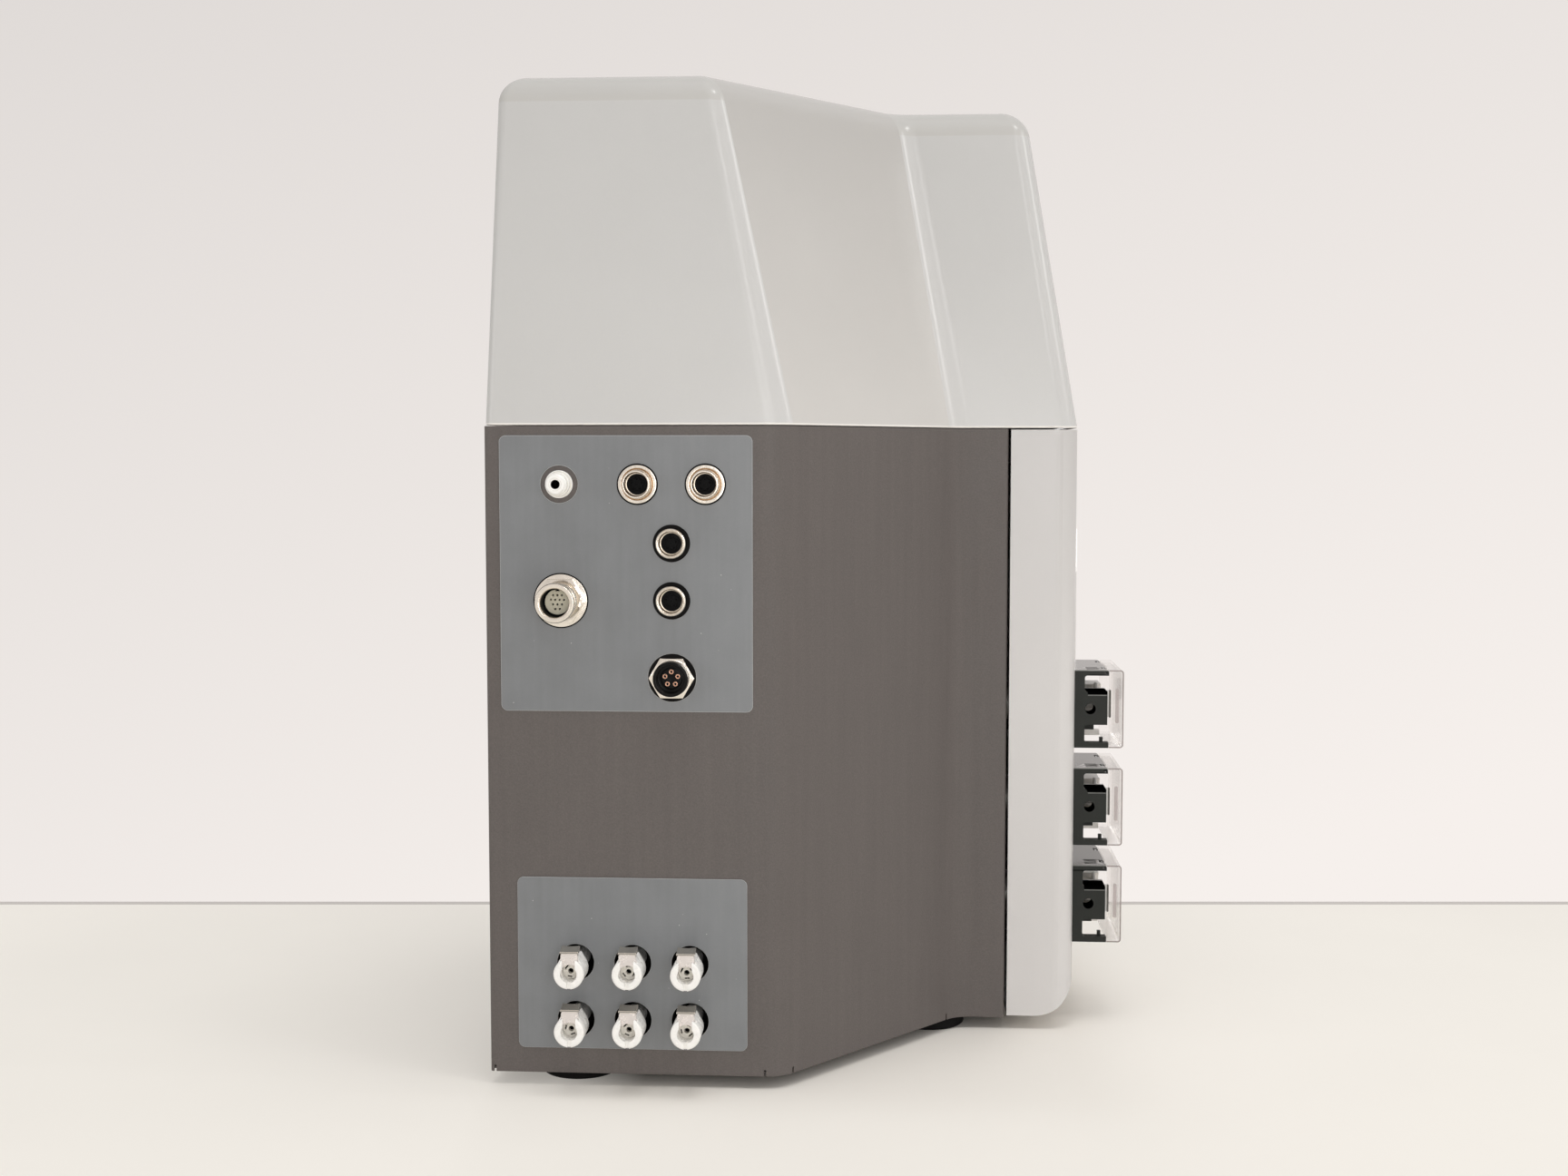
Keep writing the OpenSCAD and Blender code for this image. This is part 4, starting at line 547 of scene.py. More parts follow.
def polarPiece(name, shape, heightAt, centres, materials, rings=64, around=168):
    # a disc on a polar grid, (r cos a, r sin a): heightAt(x, y, r) gives its height and where
    # it is painted dark as shade; its rim drops straight to the foot, and a flat underside closes it
    angle = np.linspace(0, 2 * math.pi, around, endpoint=False)
    r, a = np.meshgrid(np.linspace(0, shape["radius"], rings), angle, indexing="ij")
    x, y = r * np.cos(a), r * np.sin(a)
    height, dark = heightAt(x, y, r)
    top = np.stack([x, y, height], axis=-1).reshape(-1, 3)
    skirt = np.stack([x[-1], y[-1], np.full(around, shape["foot"])], axis=-1)
    grid, quads = np.concatenate([top, skirt]), gridFaces(rings + 1, around)
    inTop = quads.max(axis=1) < len(top)
    darkShare = dark.reshape(-1)[np.minimum(quads, len(top) - 1)].mean(axis=1)
    index = np.append((inTop & (darkShare > 0.5)).astype(int), 0)
    middle = np.mean(centres, axis=0)
    points = np.concatenate([facing(grid) + (np.asarray(c) - middle) / mm for c in centres])
    faces = []
    for k in range(len(centres)):
        start = k * len(grid)
        faces += (quads + start).tolist() + [list(range(start + len(top), start + len(grid)))]
    index = np.tile(index, len(centres))
    return addPiece(name, points, faces, materials, index=index, sharp=45, at=middle)


def sensorFace(x, y, r):
    # face + lobeRise x (3 raised^2 - 2 raised^3) - the dimple - pinDepth x hole: raised climbs
    # from 0 to 1 inside a five-lobed edge and hole inside each contact; nothing is painted dark
    s = sensorSocket["insert"]
    mean, swell = s["lobeReach"]
    edge = mean + swell * np.cos(s["lobes"] * (np.arctan2(y, x) - math.pi / 2))
    raised = np.clip((edge - r) / s["lobeSlope"], 0, 1)
    ring = np.radians(np.arange(s["pins"]) * 360 / s["pins"] + s["pinTurn"])
    pins = s["pinRing"] * np.stack([np.cos(ring), np.sin(ring)], axis=1)
    hole = np.clip((s["pinRadius"] - nearest(x, y, pins)) / s["pinSlope"], 0, 1)
    rise = s["lobeRise"] * raised * raised * (3 - 2 * raised)
    dimple = s["dimpleDepth"] * (r < s["dimpleRadius"])
    return s["face"] + rise - dimple - s["pinDepth"] * hole, r < 0


socketKinds = {"do_socket": ("oxygenSocket", "flanged"), "ph_socket": ("aciditySocket", "flanged"),
               "foam_level_socket": ("foamSocket", "plain"),
               "temperature_socket": ("temperatureSocket", "plain")}
for node, (name, kind) in socketKinds.items():
    centre = portCentre(node)
    socket = turned(name, sensorSocket[kind], centre, ["nickel", "nickelDull", "brass"], reach=0.14)
    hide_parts(node)
    # the flanged kind's ring is a painted shadow, the plain kind's a rubber gasket
    gasket = turned(name + "DarkRing", sensorSocket[kind + "DarkRing"], centre, ["rubber"], reach=0.15)
centres = [portCentre(node) for node in socketKinds]
inserts = polarPiece("socketInserts", sensorSocket["insert"], sensorFace, centres, ["blackInsertAndPaintedShade"])
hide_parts("sensor_socket_inserts")

motorSocket = {
    # radius, height, finish number: 0 bright nickel, 1 duller nickel, 2 black as painted shade in the bore
    "barrel": [(7.5, -14, 1), (12.5, -14, 1), (12.5, 0.05, 1), (18.1, 0.05, 0), (18.25, 0.9, 0),
               (17.9, 1.5, 0), (12.4, 1.5, 1)],
    "nutShrink": 0.955,  # keeps the nut's corners inside the washer
    "threadRadius": 12.5, "threadFrom": 7.6, "threadTo": 18.6, "threadPitch": 1.1, "threadDepth": 0.42,
    "collar": [(12.1, 18.9, 1), (12.1, 19.5, 1), (13.5, 20.1, 0), (13.5, 22.2, 0), (13.2, 22.5, 1),
               (13.5, 22.8, 0), (13.5, 25.0, 0), (12.9, 26.0, 0), (10.7, 26.0, 0), (10.35, 25.7, 1),
               (9.8, 25.3, 1), (9.75, 24.4, 2), (9.75, 14.0, 2), (8.6, 13.4, 2), (8.6, 4.0, 1),
               (7.5, 4.0, 1)],
    "gasket": [(18.2, 0.05), (18.4, 0.05), (18.42, 0.85), (18.9, 0.86), (18.8, 1.15), (18.2, 1.2)],
    "insert": {"radius": 8.45, "foot": 4, "face": 14, "rows": [(3, 4.6), (4, 1.5), (3, -1.6), (2, -4.7)],
               "rowStep": 3, "holeRadius": 0.72, "holeDepth": 3.5, "keyWidth": 1.2, "keyReach": 7.3,
               "keyDepth": 2.5, "wallSlope": 0.1, "darkFrom": 0.3},
}


def motorFace(x, y, r):
    # face - holeDepth x hole - keyDepth x key: hole goes from 0 to 1 at each contact's wall
    # and key at the wall of the slot at the top; past darkFrom the holes and the slot are painted
    # black as shade
    s = motorSocket["insert"]
    spots = [((k - (count - 1) / 2) * s["rowStep"], up) for count, up in s["rows"] for k in range(count)]
    hole = np.clip((s["holeRadius"] - nearest(x, y, spots)) / s["wallSlope"], 0, 1)
    key = np.clip(np.minimum(s["keyWidth"] - np.abs(x), y - s["keyReach"]) / s["wallSlope"], 0, 1)
    return s["face"] - s["holeDepth"] * hole - s["keyDepth"] * key, hole + key > s["darkFrom"]


def motorProfile():
    # barrel, a row of thread crests and roots, then the collar and the bore
    s = motorSocket
    turns = np.arange(s["threadFrom"], s["threadTo"], s["threadPitch"])
    thread = [(s["threadRadius"] - s["threadDepth"] * k, z + 0.5 * s["threadPitch"] * k, k)
              for z in turns for k in (0, 1)]
    return s["barrel"] + thread + s["collar"]


centre = portCentre("motor_socket")
motor = turned("stirrerSocket", motorProfile(), centre, ["nickel", "nickelDull", "blackInsertAndPaintedShade"], reach=0.2)
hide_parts("motor_socket")
nut = fromNode("motor_socket_nut", "stirrerSocketNut", ["nickel"], 0.35, segments=3)
shrink = np.array([motorSocket["nutShrink"], 1, motorSocket["nutShrink"]])
moveVertices(nut, (vertexPlaces(nut) - centre) * shrink + centre)
contacts = polarPiece("stirrerSocketInsert", motorSocket["insert"], motorFace, [centre],
                      ["creamInsert", "blackInsertAndPaintedShade"], rings=96)
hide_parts("motor_socket_insert")
turned("stirrerSocketDarkRing", motorSocket["gasket"], centre, ["rubber"], reach=0.15)

heaterSocket = {
    "barrel": [(0, -14), (12, -14), (12, 0.05), (13.2, 0.1), (13.2, 1.0), (12, 1.0), (12, 11.2),
               (11.2, 12), (9.95, 12), (9.5, 11.6), (9.4, 11.0), (9.4, 4.2), (9.2, 4.0), (7.2, 4.0),
               (7.0, 4.5), (2.2, 4.5), (2.0, 4.2), (0, 4.2)],
    "contact": [(0.8, 3.0), (1.7, 3.0), (1.7, 5.3), (1.55, 5.5), (0.95, 5.5), (0.8, 5.3)],
    "contactRing": 4.6, "contactCount": 5,
    "gasket": [(13.3, 0.05), (16.3, 0.05), (16.3, 0.7), (13.3, 0.7)],
}
centre = portCentre("heater_socket")
heater = turned("heaterSocket", heaterSocket["barrel"], centre, ["blackGloss"], reach=0.2)
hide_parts("heater_socket")
angles = np.radians(90 + 360 / heaterSocket["contactCount"] * np.arange(heaterSocket["contactCount"]))
spots = heaterSocket["contactRing"] * np.stack([np.cos(angles), np.sin(angles)], axis=1)
contacts = turned("heaterContacts", heaterSocket["contact"], centre, ["copper"], 0.12, 32, spots)
fromNode("heater_socket_nut", "heaterSocketNut", ["nickel"], 0.35, segments=3)
turned("heaterSocketDarkRing", heaterSocket["gasket"], centre, ["rubber"], reach=0.15)

spargeFitting = {
    # radius, height, finish number: 0 white, 1 grey as painted shade in the grooves, 2 black as painted
    # shade in the bore
    "body": [(2.1, -14, 0), (6, -14, 0), (6, 0.05, 0), (9.4, 0.1, 0), (9.45, 2.0, 0), (9.0, 2.5, 1),
             (8.2, 2.45, 1), (8.05, 2.7, 0), (8.05, 4.3, 1), (7.8, 4.6, 1), (8.05, 4.9, 0),
             (8.05, 7.2, 0), (7.6, 7.8, 1), (7.15, 7.75, 1), (7.05, 8.1, 0), (7.05, 11, 0),
             (6.1, 11.9, 1), (5.7, 12.5, 1), (6.4, 13.9, 0), (6.45, 15.4, 0), (6.0, 16, 0),
             (4.4, 16, 1), (4.2, 15.8, 0), (3.7, 15.9, 0), (3.05, 15.2, 2), (2.75, 13.4, 2),
             (2.75, 1.5, 2), (2.1, 1.5, 2)],
}
centre = portCentre("sparge_fitting")
sparge = turned("spargeFitting", spargeFitting["body"], centre, ["acetal", "acetalGrey", "blackInsertAndPaintedShade"])
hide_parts("sparge_fitting")
print("upper ports made")

waterLines = {"water_in": "waterIn", "drain": "drain", "condenser_in": "condenserIn",
              "condenser_return": "condenserReturn", "cool_loop_in": "coolLoopIn",
              "cool_loop_return": "coolLoopReturn"}
valve = {
    # the sprung valve inside the coupling, its heights measured out of the panel; axisUp is
    # its axis above the coupling's lowest point
    "axisUp": 10.3,
    "radius": 5.62, "face": 19.8, "foot": 13.2, "holeRadius": 1.85, "holeDepth": 5.5, "holeSlope": 0.1,
    "rimDrop": 0.35, "rimWide": 0.35, "slits": 3, "slitRing": 3.8, "slitLong": 1.6, "slitWide": 0.5,
    "slitDepth": 2.2, "slitSlope": 0.12, "darkFrom": 0.6,
    "turns": (20, 47, 95, 8, 33, 71),  # each valve has come to rest at its own angle
}
thumbTab = {
    # a wedge on the latch that rises away from its front edge, measured from the
    # coupling's axis and out of the panel
    "width": 12.6, "front": 27.2, "back": 18.6, "low": 13.5, "frontTop": 14.9, "backTop": 17.3,
    "bend": 1.3, "hollow": 0.5, "across": 13, "along": 9,
}


def valveFace(turn):
    # face - drop - rim: drop is the deeper of the middle hole's and the slits' depths, each
    # from 0 at its wall, and rim grows outwards over the last rimWide; where drop passes
    # darkFrom the hole and slits are painted black as shade
    def heightAt(x, y, r):
        s = valve
        drop = s["holeDepth"] * np.clip((s["holeRadius"] - r) / s["holeSlope"], 0, 1)
        rim = s["rimDrop"] * np.clip((r - s["radius"] + s["rimWide"]) / s["rimWide"], 0, 1)
        for k in range(s["slits"]):
            c = math.radians(turn + 360 / s["slits"] * k)
            along = np.abs(-x * math.sin(c) + y * math.cos(c)) - s["slitLong"]
            across = np.abs(x * math.cos(c) + y * math.sin(c) - s["slitRing"]) - s["slitWide"]
            inside = np.clip(-np.maximum(along, across) / s["slitSlope"], 0, 1)
            drop = np.maximum(drop, s["slitDepth"] * inside)
        return s["face"] - drop - rim, drop > s["darkFrom"]
    return heightAt


def makeTab(name, centre, body):
    # top height = front height + rise x t^bend - hollow x (1 - u^2) x t, t from front to back
    # and u across from -1 to 1; the grid's four walls and flat underside close it
    s = thumbTab
    u, t = np.meshgrid(np.linspace(-1, 1, s["across"]), np.linspace(0, 1, s["along"]), indexing="ij")
    rise = (s["backTop"] - s["frontTop"]) * t ** s["bend"]
    top = s["frontTop"] + rise - s["hollow"] * (1 - u ** 2) * t
    out = s["front"] + (s["back"] - s["front"]) * t
    upper = np.stack([u * s["width"] / 2, top, out], axis=-1).reshape(-1, 3)
    lower = np.stack([u * s["width"] / 2, np.full(u.shape, s["low"]), out], axis=-1).reshape(-1, 3)
    count = u.size
    number = np.arange(count).reshape(u.shape)
    rim = np.concatenate([number[0, :-1], number[:-1, -1], number[-1, :0:-1], number[:0:-1, 0]])
    after = np.roll(rim, -1)
    faces = np.concatenate([gridFaces(*u.shape, False), gridFaces(*u.shape, False, count)[:, ::-1],
                            np.stack([rim, rim + count, after + count, after], axis=1)])
    points = facing(np.concatenate([upper, lower]))
    tab = addPiece(name, points, faces, ["latchTab", "nickel"], body, sharp=35, at=centre)
    # painted highlight: the tab's eased edges are bright nickel
    return soften(tab, 0.3, 2, 40, edgeMaterial=1)


for (node, name), turn in zip(waterLines.items(), valve["turns"]):
    body = node + "_latch"
    shell = fromNode(node + "_coupling", name + "Coupling", ["acetal"], 0.4, segments=3, sharp=35)
    low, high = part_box(node + "_coupling")
    centre = np.array([(low[0] + high[0]) / 2, origin[1], low[2] + valve["axisUp"] * mm])
    core = polarPiece(name + "Valve", valve, valveFace(turn), [centre], ["acetalGrey", "blackInsertAndPaintedShade"])
    fromNode(body, name + "Latch", ["latchSteel"], 0.2, body)
    makeTab(name + "LatchTab", centre, body)
fromNode("coupling_bracket", "couplingBracket", ["blackenedSteel"], 0.2)
print("couplings made")

pump = {
    "blackEnd": 22,  # how far the black end reaches in from the port side, before the pale inside
    "armLow": 25.2,  # lowest point of the upper arm above the rotor's middle
    "backPlate": 7.9,  # what lies further from the body's back isn't the back plate
    "farSkin": 0.1, "endSkin": 1,  # the far and the port side end faces lie within this of the ends
    "blockTop": 13.3, "blockTopReach": 0.5,  # the block's top above the rotor's middle
    # the cover's edge band, painted as shade: back and front, its corners' radius, its width, how
    # far it goes in from the body's port side and stands out of it, and points in each corner
    "coverBack": 26.5, "coverFront": 37.4, "coverRadius": 2.5, "edgeWide": 0.9, "edgeThick": 0.3,
    "edgeOut": 0.03, "edgeSteps": 7,
    "tubeAt": 12.4, "tubeRadius": 4.2,  # the tube hole's axis from the body's back
    # plates by the track and shade in the cover: front-to-back, in-from-the-side and up reach,
    # then the corner radius
    "trackPlate": ((25.1, 26.5), (2.6, 4.6), (-6.5, 14.4), 0.4),
    "trackEdge": ((26.6, 28.1), (2.8, 4.4), (-6.8, 14.4), 0.7),
    "coverShade": ((31.3, 34.0), (2.0, 2.2), (-11.0, 15.5), 1.2),
    # strips of painted highlight (finish 4) and painted shade (finish 3) on the port side end:
    # lowest and highest point above the rotor's middle, how far forward they start, finish
    "strips": ((29.1, 30.0, 0.0, 4), (25.4, 26.2, 8.0, 3), (11.0, 13.6, 8.0, 3), (10.3, 11.0, 8.0, 4)),
}


def splitAcross(piece, place, axis=1):
    # cuts the piece's faces at that place on the axis, so each side takes its finish
    work = bmesh.new()
    work.from_mesh(piece.data)
    geometry = work.verts[:] + work.edges[:] + work.faces[:]
    across = np.eye(3)[axis]
    bmesh.ops.bisect_plane(work, geom=geometry, dist=1e-7, plane_co=across * place, plane_no=across)
    work.to_mesh(piece.data)
    work.free()
    return piece


def makePumpBody(n, low, high):
    # the black end and arm, the pale inside, painted shade in the tube hole and on the
    # block's top, and strips of painted shade and painted highlight
    s = pump
    inside = low[1] + s["blackEnd"] * mm
    middle = (low[2] + high[2]) / 2
    materials = ["blackMoulding", "paleMoulding", "glossyPaintedLightTop", "paintedShade", "paintedEdgeHighlight"]
    housing = fromNode(f"pump_{n}_body", f"pump{n}Body", materials, 0.45, segments=3)

    def pale(c, n):
        return ((c[:, 1] > inside) & (c[:, 2] < middle + s["armLow"] * mm)
                & (c[:, 0] > low[0] + s["backPlate"] * mm) & (c[:, 1] < high[1] - s["farSkin"] * mm))

    # painted light: the arms' tops take the lighter, glossier finish
    def armTop(c, n):
        return (n[:, 2] > squareOn) & (c[:, 2] > middle + s["armLow"] * mm)

    # painted shade: the tube hole's walls are black
    def tubeHole(c, n):
        away = np.hypot(c[:, 0] - low[0] - s["tubeAt"] * mm, c[:, 2] - middle)
        return (away < s["tubeRadius"] * mm) & (np.abs(n[:, 1]) < 0.5)

    # painted shade: the block's top face is black
    def blockTop(c, n):
        return ((n[:, 2] > squareOn) & (c[:, 1] < inside) & (c[:, 0] > low[0] + s["backPlate"] * mm)
                & (np.abs(c[:, 2] - middle - s["blockTop"] * mm) < s["blockTopReach"] * mm))

    paintFaces(splitAcross(housing, inside), 1, pale)
    for index, chosen in ((2, armTop), (3, tubeHole), (3, blockTop)):
        paintFaces(housing, index, chosen)
    # painted highlight and painted shade strips along the pump's edges
    for below, above, ahead, index in s["strips"]:
        def strip(c, n):
            away = np.abs(c[:, 2] - middle - (below + above) / 2 * mm)
            return ((n[:, 1] < -squareOn) & (c[:, 1] < low[1] + s["endSkin"] * mm)
                    & (c[:, 0] > low[0] + ahead * mm) & (away < (above - below) / 2 * mm))

        splitAcross(splitAcross(housing, middle + below * mm, 2), middle + above * mm, 2)
        paintFaces(housing, index, strip)


def coverEdge(name, low, high, body):
    # a band of painted shade for the dark edge-on look of the clear cover, which follows the
    # cover's side outline, open at the back, on its port side: the outline's points and the same
    # points moved inwards by the band's width
    s = pump
    half, r = (high[2] - low[2]) / 2 / mm, s["coverRadius"]
    turn = np.radians(np.linspace(90, 0, s["edgeSteps"]))
    arc = np.stack([s["coverFront"] - r + r * np.cos(turn), half - r + r * np.sin(turn)], axis=1)
    outer = np.concatenate([[[s["coverBack"], half]], arc, arc[::-1] * (1, -1), [[s["coverBack"], -half]]])
    small = arc - s["edgeWide"] * np.stack([np.cos(turn), np.sin(turn)], axis=1)
    small = np.concatenate([[[s["coverBack"], half - s["edgeWide"]]], small])
    inner = np.concatenate([small, small[::-1] * (1, -1)])
    rows, side = len(outer), (low[1] - high[1]) / 2 / mm
    deep, proud = s["edgeThick"], -s["edgeOut"]
    paths = ((outer, proud), (outer, deep), (inner, deep), (inner, proud))
    points = np.concatenate([np.stack([path[:, 0], np.full(rows, side + depth), path[:, 1]], axis=1)
                             for path, depth in paths])
    ring = np.arange(4 * rows).reshape(4, rows)
    after = np.roll(ring, -1, axis=0)
    walls = np.stack([ring[:, :-1], ring[:, 1:], after[:, 1:], after[:, :-1]], axis=-1).reshape(-1, 4)
    faces = np.concatenate([walls, [ring[:, 0], ring[::-1, -1]]])
    middle = np.array([high[0] - s["coverFront"] * mm, (low[1] + high[1]) / 2, (low[2] + high[2]) / 2])
    return addPiece(name, points, faces, ["clearEdgePaintedShade"], body, sharp=40, at=middle)


def slab(name, shape, corner, middle, finishName, body):
    # a rounded rectangle, front-to-back by height, drawn out sideways from the port side: the
    # arc's middle at the nearest corner + radius x (cos a, sin a)
    (x0, x1), (y0, y1), (z0, z1), radius = shape
    turn = np.radians(np.arange(0, 360, 10))
    spoke = np.stack([np.cos(turn), np.sin(turn)], axis=1)
    flat = np.array([x1 - x0, z1 - z0]) / 2 - radius
    centre = np.array([(x0 + x1) / 2, (z0 + z1) / 2]) + np.sign(np.round(spoke, 6)) * flat
    outline = centre + radius * spoke
    count = len(outline)
    rows = [np.stack([outline[:, 0], np.full(count, y), outline[:, 1]], axis=1) for y in (y0, y1)]
    faces = [list(f) for f in gridFaces(2, count)] + [list(range(count)), list(range(count, 2 * count))]
    place = np.array([corner[0], corner[1], middle])
    piece = addPiece(name, np.concatenate(rows), faces, [finishName], body, at=place)


for n in (1, 2, 3):
    name, rotor, cover = f"pump{n}", f"pump_{n}_rotor", f"pump_{n}_cover"
    low, high = (np.asarray(corner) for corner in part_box(f"pump_{n}_body"))
    middle = (low[2] + high[2]) / 2
    makePumpBody(n, low, high)
    fromNode(cover, name + "Cover", ["clearPlastic"], 0.3, cover)
    ends = zip(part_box(cover), (low, high))
    coverLow, coverHigh = (np.array([corner[0], *bodyCorner[1:]]) for corner, bodyCorner in ends)
    coverEdge(name + "CoverEdge", coverLow, coverHigh, cover)
    slab(name + "TrackPlate", pump["trackPlate"], low, middle, "paleMoulding", "cabinet")
    slab(name + "TrackEdge", pump["trackEdge"], low, middle, "trackGrey", "cabinet")
    slab(name + "CoverShade", pump["coverShade"], low, middle, "frosted", cover)
    fromNode(rotor, name + "Rotor", ["paleMoulding"], 0.25, rotor)
    for k in (1, 2, 3):
        roller = f"pump_{n}_roller_{k}"
        wheel = fromNode(roller, f"{name}Roller{k}", ["acetalGrey"], 0.5, roller, segments=3)
fromNode("pump_motors", "pumpMotors", ["steel"], 0.5)
print("pumps made")

touchScreen = {
    "lean": 9.55,  # of the hood's front, in degrees
    "sunk": 1.1, "recess": 0.3, "glassLift": 0.4,
    # the glass faces the front by more than the first, the rim by less than the second
    "flatOn": 0.99, "rimOff": 0.5,
}


def makeScreen():
    # the bezel moves in square to the hood's front and its rim is pale; the recess holds the
    # glass, which is lifted to lie just proud of the hood
    s = touchScreen
    screen = fromNode("touch_screen", "touchScreen", ["bezel", "screenGlass", "hoodShell"], 0.3)
    out = np.array([math.cos(math.radians(s["lean"])), 0.0, math.sin(math.radians(s["lean"]))])
    points = vertexPlaces(screen)
    front = (points @ out).max()
    paintFaces(screen, 1, lambda c, n: (n @ out > s["flatOn"]) & (c @ out < front - s["recess"] * mm))
    paintFaces(screen, 2, lambda c, n: n @ out < s["rimOff"])
    depth = (front - points @ out) / mm
    points[(depth > s["recess"]) & (depth < 3 * s["recess"])] += out * s["glassLift"] * mm
    moveVertices(screen, points - out * s["sunk"] * mm)


makeScreen()
fromNode("rotameter_block", "rotameterBlock", ["clearPlastic"], 0.8, segments=3)
fromNode("rotameter_ball", "rotameterBall", ["blackInsertAndPaintedShade"], 0, "rotameter_ball")
knob = fromNode("rotameter_knob", "rotameterKnob", ["blackMoulding"], 0.35, "rotameter_knob")
fromNode("mains_inlet", "mainsInlet", ["blackInsertAndPaintedShade"], 0.4)
fromNode("power_rocker", "powerRocker", ["blackMoulding"], 0.3, "power_rocker")
fromNode("power_supply", "powerSupply", ["steel"], 0.3)
fromNode("control_board", "controlBoard", ["circuitBoard"], 0.1)
print("small parts made")

studio = {
    "floorColour": srgb(249, 244, 236), "edgeColour": srgb(206, 200, 195),
    "floorReach": (-2.6, 1.822), "floorSide": 4.2, "edgeStrip": 0.012, "floorSteps": 8,
    "stainScale": 2.2, "stainDetail": 6, "stainShade": 0.965, "roughness": 0.6, "specular": 0.2,
    # the table's plain colour: a box's middle and half size, then, twice, from and to distance
    # outside it and the shares there, which add up
    "glowBox": ((0.0345, 0.015, 0.0), (0.1545, 0.19, 1.0)),
    "glowSteps": ((0.0, 0.06, 0.0, 0.3), (0.06, 1.2, 0.0, 0.4)),
    "wallColours": (srgb(222, 217, 214), srgb(246, 240, 236)), "wallSlope": (0.5, 0.0, -1.46),
    "wallShare": 0.61, "skyStrength": 0.44, "skyTint": (1.0, 0.995, 0.995, 1.0),
    "lampTint": (1.0, 0.995, 0.99),
    # place, width and height, share of the light that makes a colour render as written,
    # and whether gloss shows the lamp
    "lamps": [((0.25, -1.9, 0.45), (0.6, 0.6), 0.145, True), ((-2.2, -1.5, 0.7), (0.9, 0.8), 0.07, True),
              ((2.1, -1.7, 0.45), (0.8, 0.7), 0.045, True), ((0.1, -0.45, 2.9), (1.5, 1.5), 0.43, False),
              ((-0.2, 2.4, 0.6), (0.8, 0.8), 0.12, True), ((2.38, -0.33, 1.58), (0.1, 0.95), 0.075, True),
              ((1.0, -2.25, 1.24), (0.16, 0.75), 0.035, True),
              ((1.3, -0.8, 2.65), (0.42, 0.42), 0.08, True)],
    "aim": (0.0, 0.0, 0.35),
    "cameraPlace": (0.0603, -1.4433, 0.4350), "cameraTurn": (86.03, 0.0, 3.65),
    "lens": 43.23, "sensor": 36.0, "clip": (0.01, 50.0),
}


def lookedAt(tree):
    # 1 for a ray from the camera, off a gloss or through clear plastic
    path = addNode(tree, "LightPath", {}).outputs
    seen = reckon(tree, "MAXIMUM", path["Is Camera Ray"], path["Is Glossy Ray"])
    return reckon(tree, "MAXIMUM", seen, path["Is Transmission Ray"])


def laminate(name, colour):
    # a matt sheet with faint stains, which shows a share of its plain colour to the view, to
    # gloss and to clear plastic; the share is small by the object, whose shadow it keeps, and
    # grows with the distance outside a box: the length of max(|place - middle| - half, 0)
    s = studio
    material = bpy.data.materials.new(name)
    material.use_nodes = True
    tree = material.node_tree
    place = addNode(tree, "TexCoord", {}).outputs["Object"]
    noise = {"Vector": place, "Scale": s["stainScale"], "Detail": s["stainDetail"]}
    stains = addNode(tree, "TexNoise", noise).outputs["Fac"]
    stained = (*[c * s["stainShade"] for c in colour[:3]], 1.0)
    shade = mixed(tree, spread(tree, stains, 0.0, 1.0), stained, colour)
    shader = feed(tree, tree.nodes["Principled BSDF"],
                  {"Base Color": shade, "Roughness": s["roughness"], "Specular IOR Level": s["specular"]})
    plain = addNode(tree, "Emission", {"Color": shade}).outputs[0]
    middle, half = s["glowBox"]
    away = place
    for operation, inputs in (("SUBTRACT", {1: middle}), ("ABSOLUTE", {}), ("SUBTRACT", {1: half}),
                              ("MAXIMUM", {1: (0, 0, 0)})):
        away = addNode(tree, "VectorMath", {0: away, **inputs}, operation=operation).outputs["Vector"]
    distance = addNode(tree, "VectorMath", {0: away}, operation="LENGTH").outputs["Value"]
    near, far = (spread(tree, distance, low, high, start, stop)
                 for start, stop, low, high in s["glowSteps"])
    share = reckon(tree, "MULTIPLY", lookedAt(tree), reckon(tree, "ADD", near, far))
    surface = mixedShader(tree, share, shader.outputs[0], plain)
    feed(tree, tree.nodes["Material Output"], {"Surface": surface})
    return material


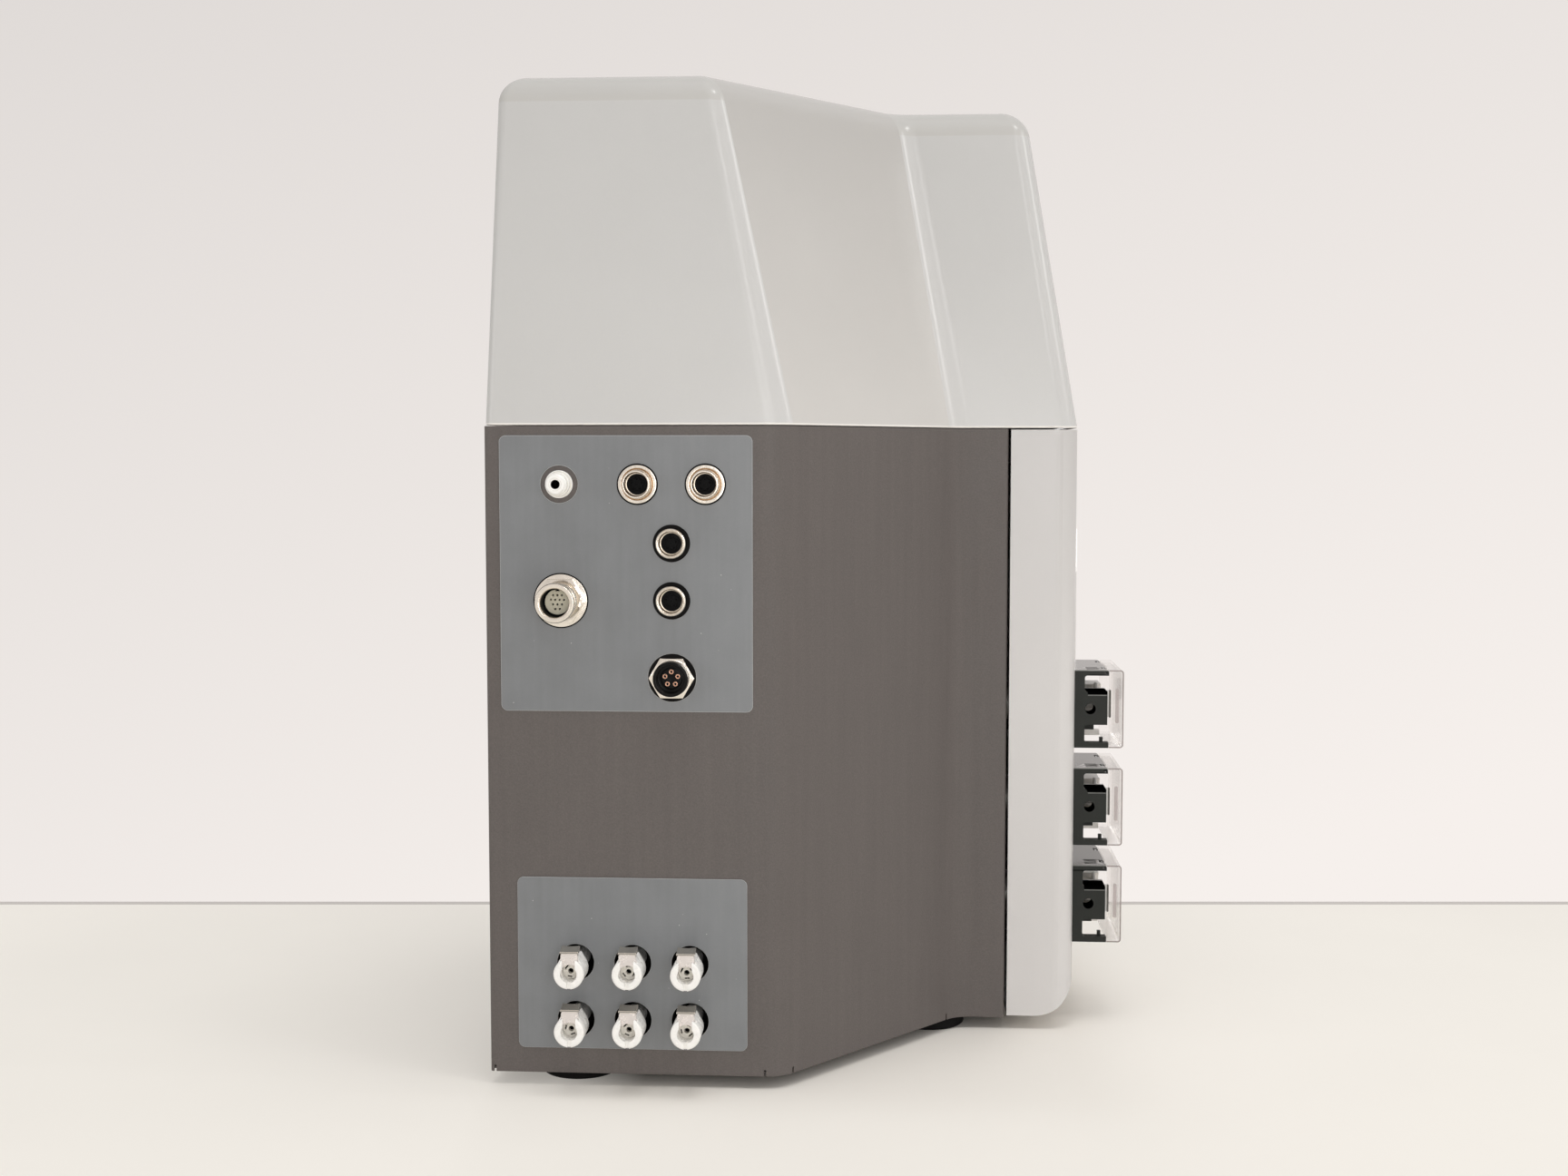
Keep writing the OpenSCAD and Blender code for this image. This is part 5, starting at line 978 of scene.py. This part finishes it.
def makeFloor():
    # a level sheet of points in the camera's heading; its far strip is darker
    s = studio
    heading = math.radians(s["cameraTurn"][2])
    ahead = np.array([-math.sin(heading), math.cos(heading)])
    aside = np.array([math.cos(heading), math.sin(heading)])
    steps = s["floorSteps"] + 1
    near, far = s["floorReach"]
    f, t = np.meshgrid([*np.linspace(near, far - s["edgeStrip"], steps), far],
                       np.linspace(-s["floorSide"], s["floorSide"], steps), indexing="ij")
    plan = np.asarray(s["cameraPlace"][:2]) + f[..., None] * ahead + t[..., None] * aside
    grid = np.concatenate([plan, np.zeros((*f.shape, 1))], axis=-1).reshape(-1, 3)
    faces = gridFaces(*f.shape, False)[:, ::-1]
    mesh = bpy.data.meshes.new("tableTop")
    mesh.from_pydata(grid.tolist(), [], faces.tolist())
    onEdge = np.arange(len(faces)) >= len(faces) - s["floorSteps"]
    mesh.polygons.foreach_set("material_index", onEdge.astype(np.int32))
    mesh.materials.append(laminate("tableLaminate", s["floorColour"]))
    mesh.materials.append(laminate("tableEdge", s["edgeColour"]))
    top = bpy.data.objects.new("tableTop", mesh)
    bpy.context.scene.collection.objects.link(top)


def makeSky():
    # the wall where the camera, gloss and clear plastic look, paler downwards and to one
    # side, and soft light elsewhere
    s = studio
    world = bpy.data.worlds.new("studio")
    bpy.context.scene.world = world
    world.use_nodes = True
    tree = world.node_tree
    tree.nodes.clear()
    light = addNode(tree, "Background", {"Color": s["skyTint"], "Strength": s["skyStrength"]}).outputs[0]
    heading = addNode(tree, "TexCoord", {}).outputs["Generated"]
    slope = addNode(tree, "VectorMath", {0: heading, 1: s["wallSlope"]}, operation="DOT_PRODUCT")
    level = reckon(tree, "ADD", slope.outputs["Value"], s["wallShare"])
    wall = addNode(tree, "Background", {"Color": mixed(tree, level, *s["wallColours"]), "Strength": 1.0})
    surface = mixedShader(tree, lookedAt(tree), light, wall.outputs[0])
    addNode(tree, "OutputWorld", {"Surface": surface})


def makeLamp(number, place, size, share, inGloss):
    # power = share x pi^2 x distance^2, so that a surface facing it gets that share
    lamp = bpy.data.lights.new(f"softbox{number}", "AREA")
    lamp.shape = "RECTANGLE"
    lamp.size, lamp.size_y = size
    reach = Vector(studio["aim"]) - Vector(place)
    lamp.energy = share * math.pi ** 2 * reach.length_squared
    lamp.color = studio["lampTint"]
    holder = bpy.data.objects.new(f"softbox{number}", lamp)
    holder.location = place
    holder.rotation_euler = reach.to_track_quat("-Z", "Y").to_euler()
    holder.visible_camera, holder.visible_glossy = False, inGloss
    bpy.context.scene.collection.objects.link(holder)


def makeCamera():
    camera = bpy.data.cameras.new("view")
    camera.lens, camera.sensor_width = studio["lens"], studio["sensor"]
    camera.clip_start, camera.clip_end = studio["clip"]
    holder = bpy.data.objects.new("view", camera)
    holder.location = studio["cameraPlace"]
    holder.rotation_euler = [math.radians(a) for a in studio["cameraTurn"]]
    bpy.context.scene.collection.objects.link(holder)
    bpy.context.scene.camera = holder


makeFloor()
makeSky()
for number, lamp in enumerate(studio["lamps"], start=1):
    makeLamp(number, *lamp)
makeCamera()
bpy.context.scene.view_settings.view_transform = "Standard"
print("studio made")
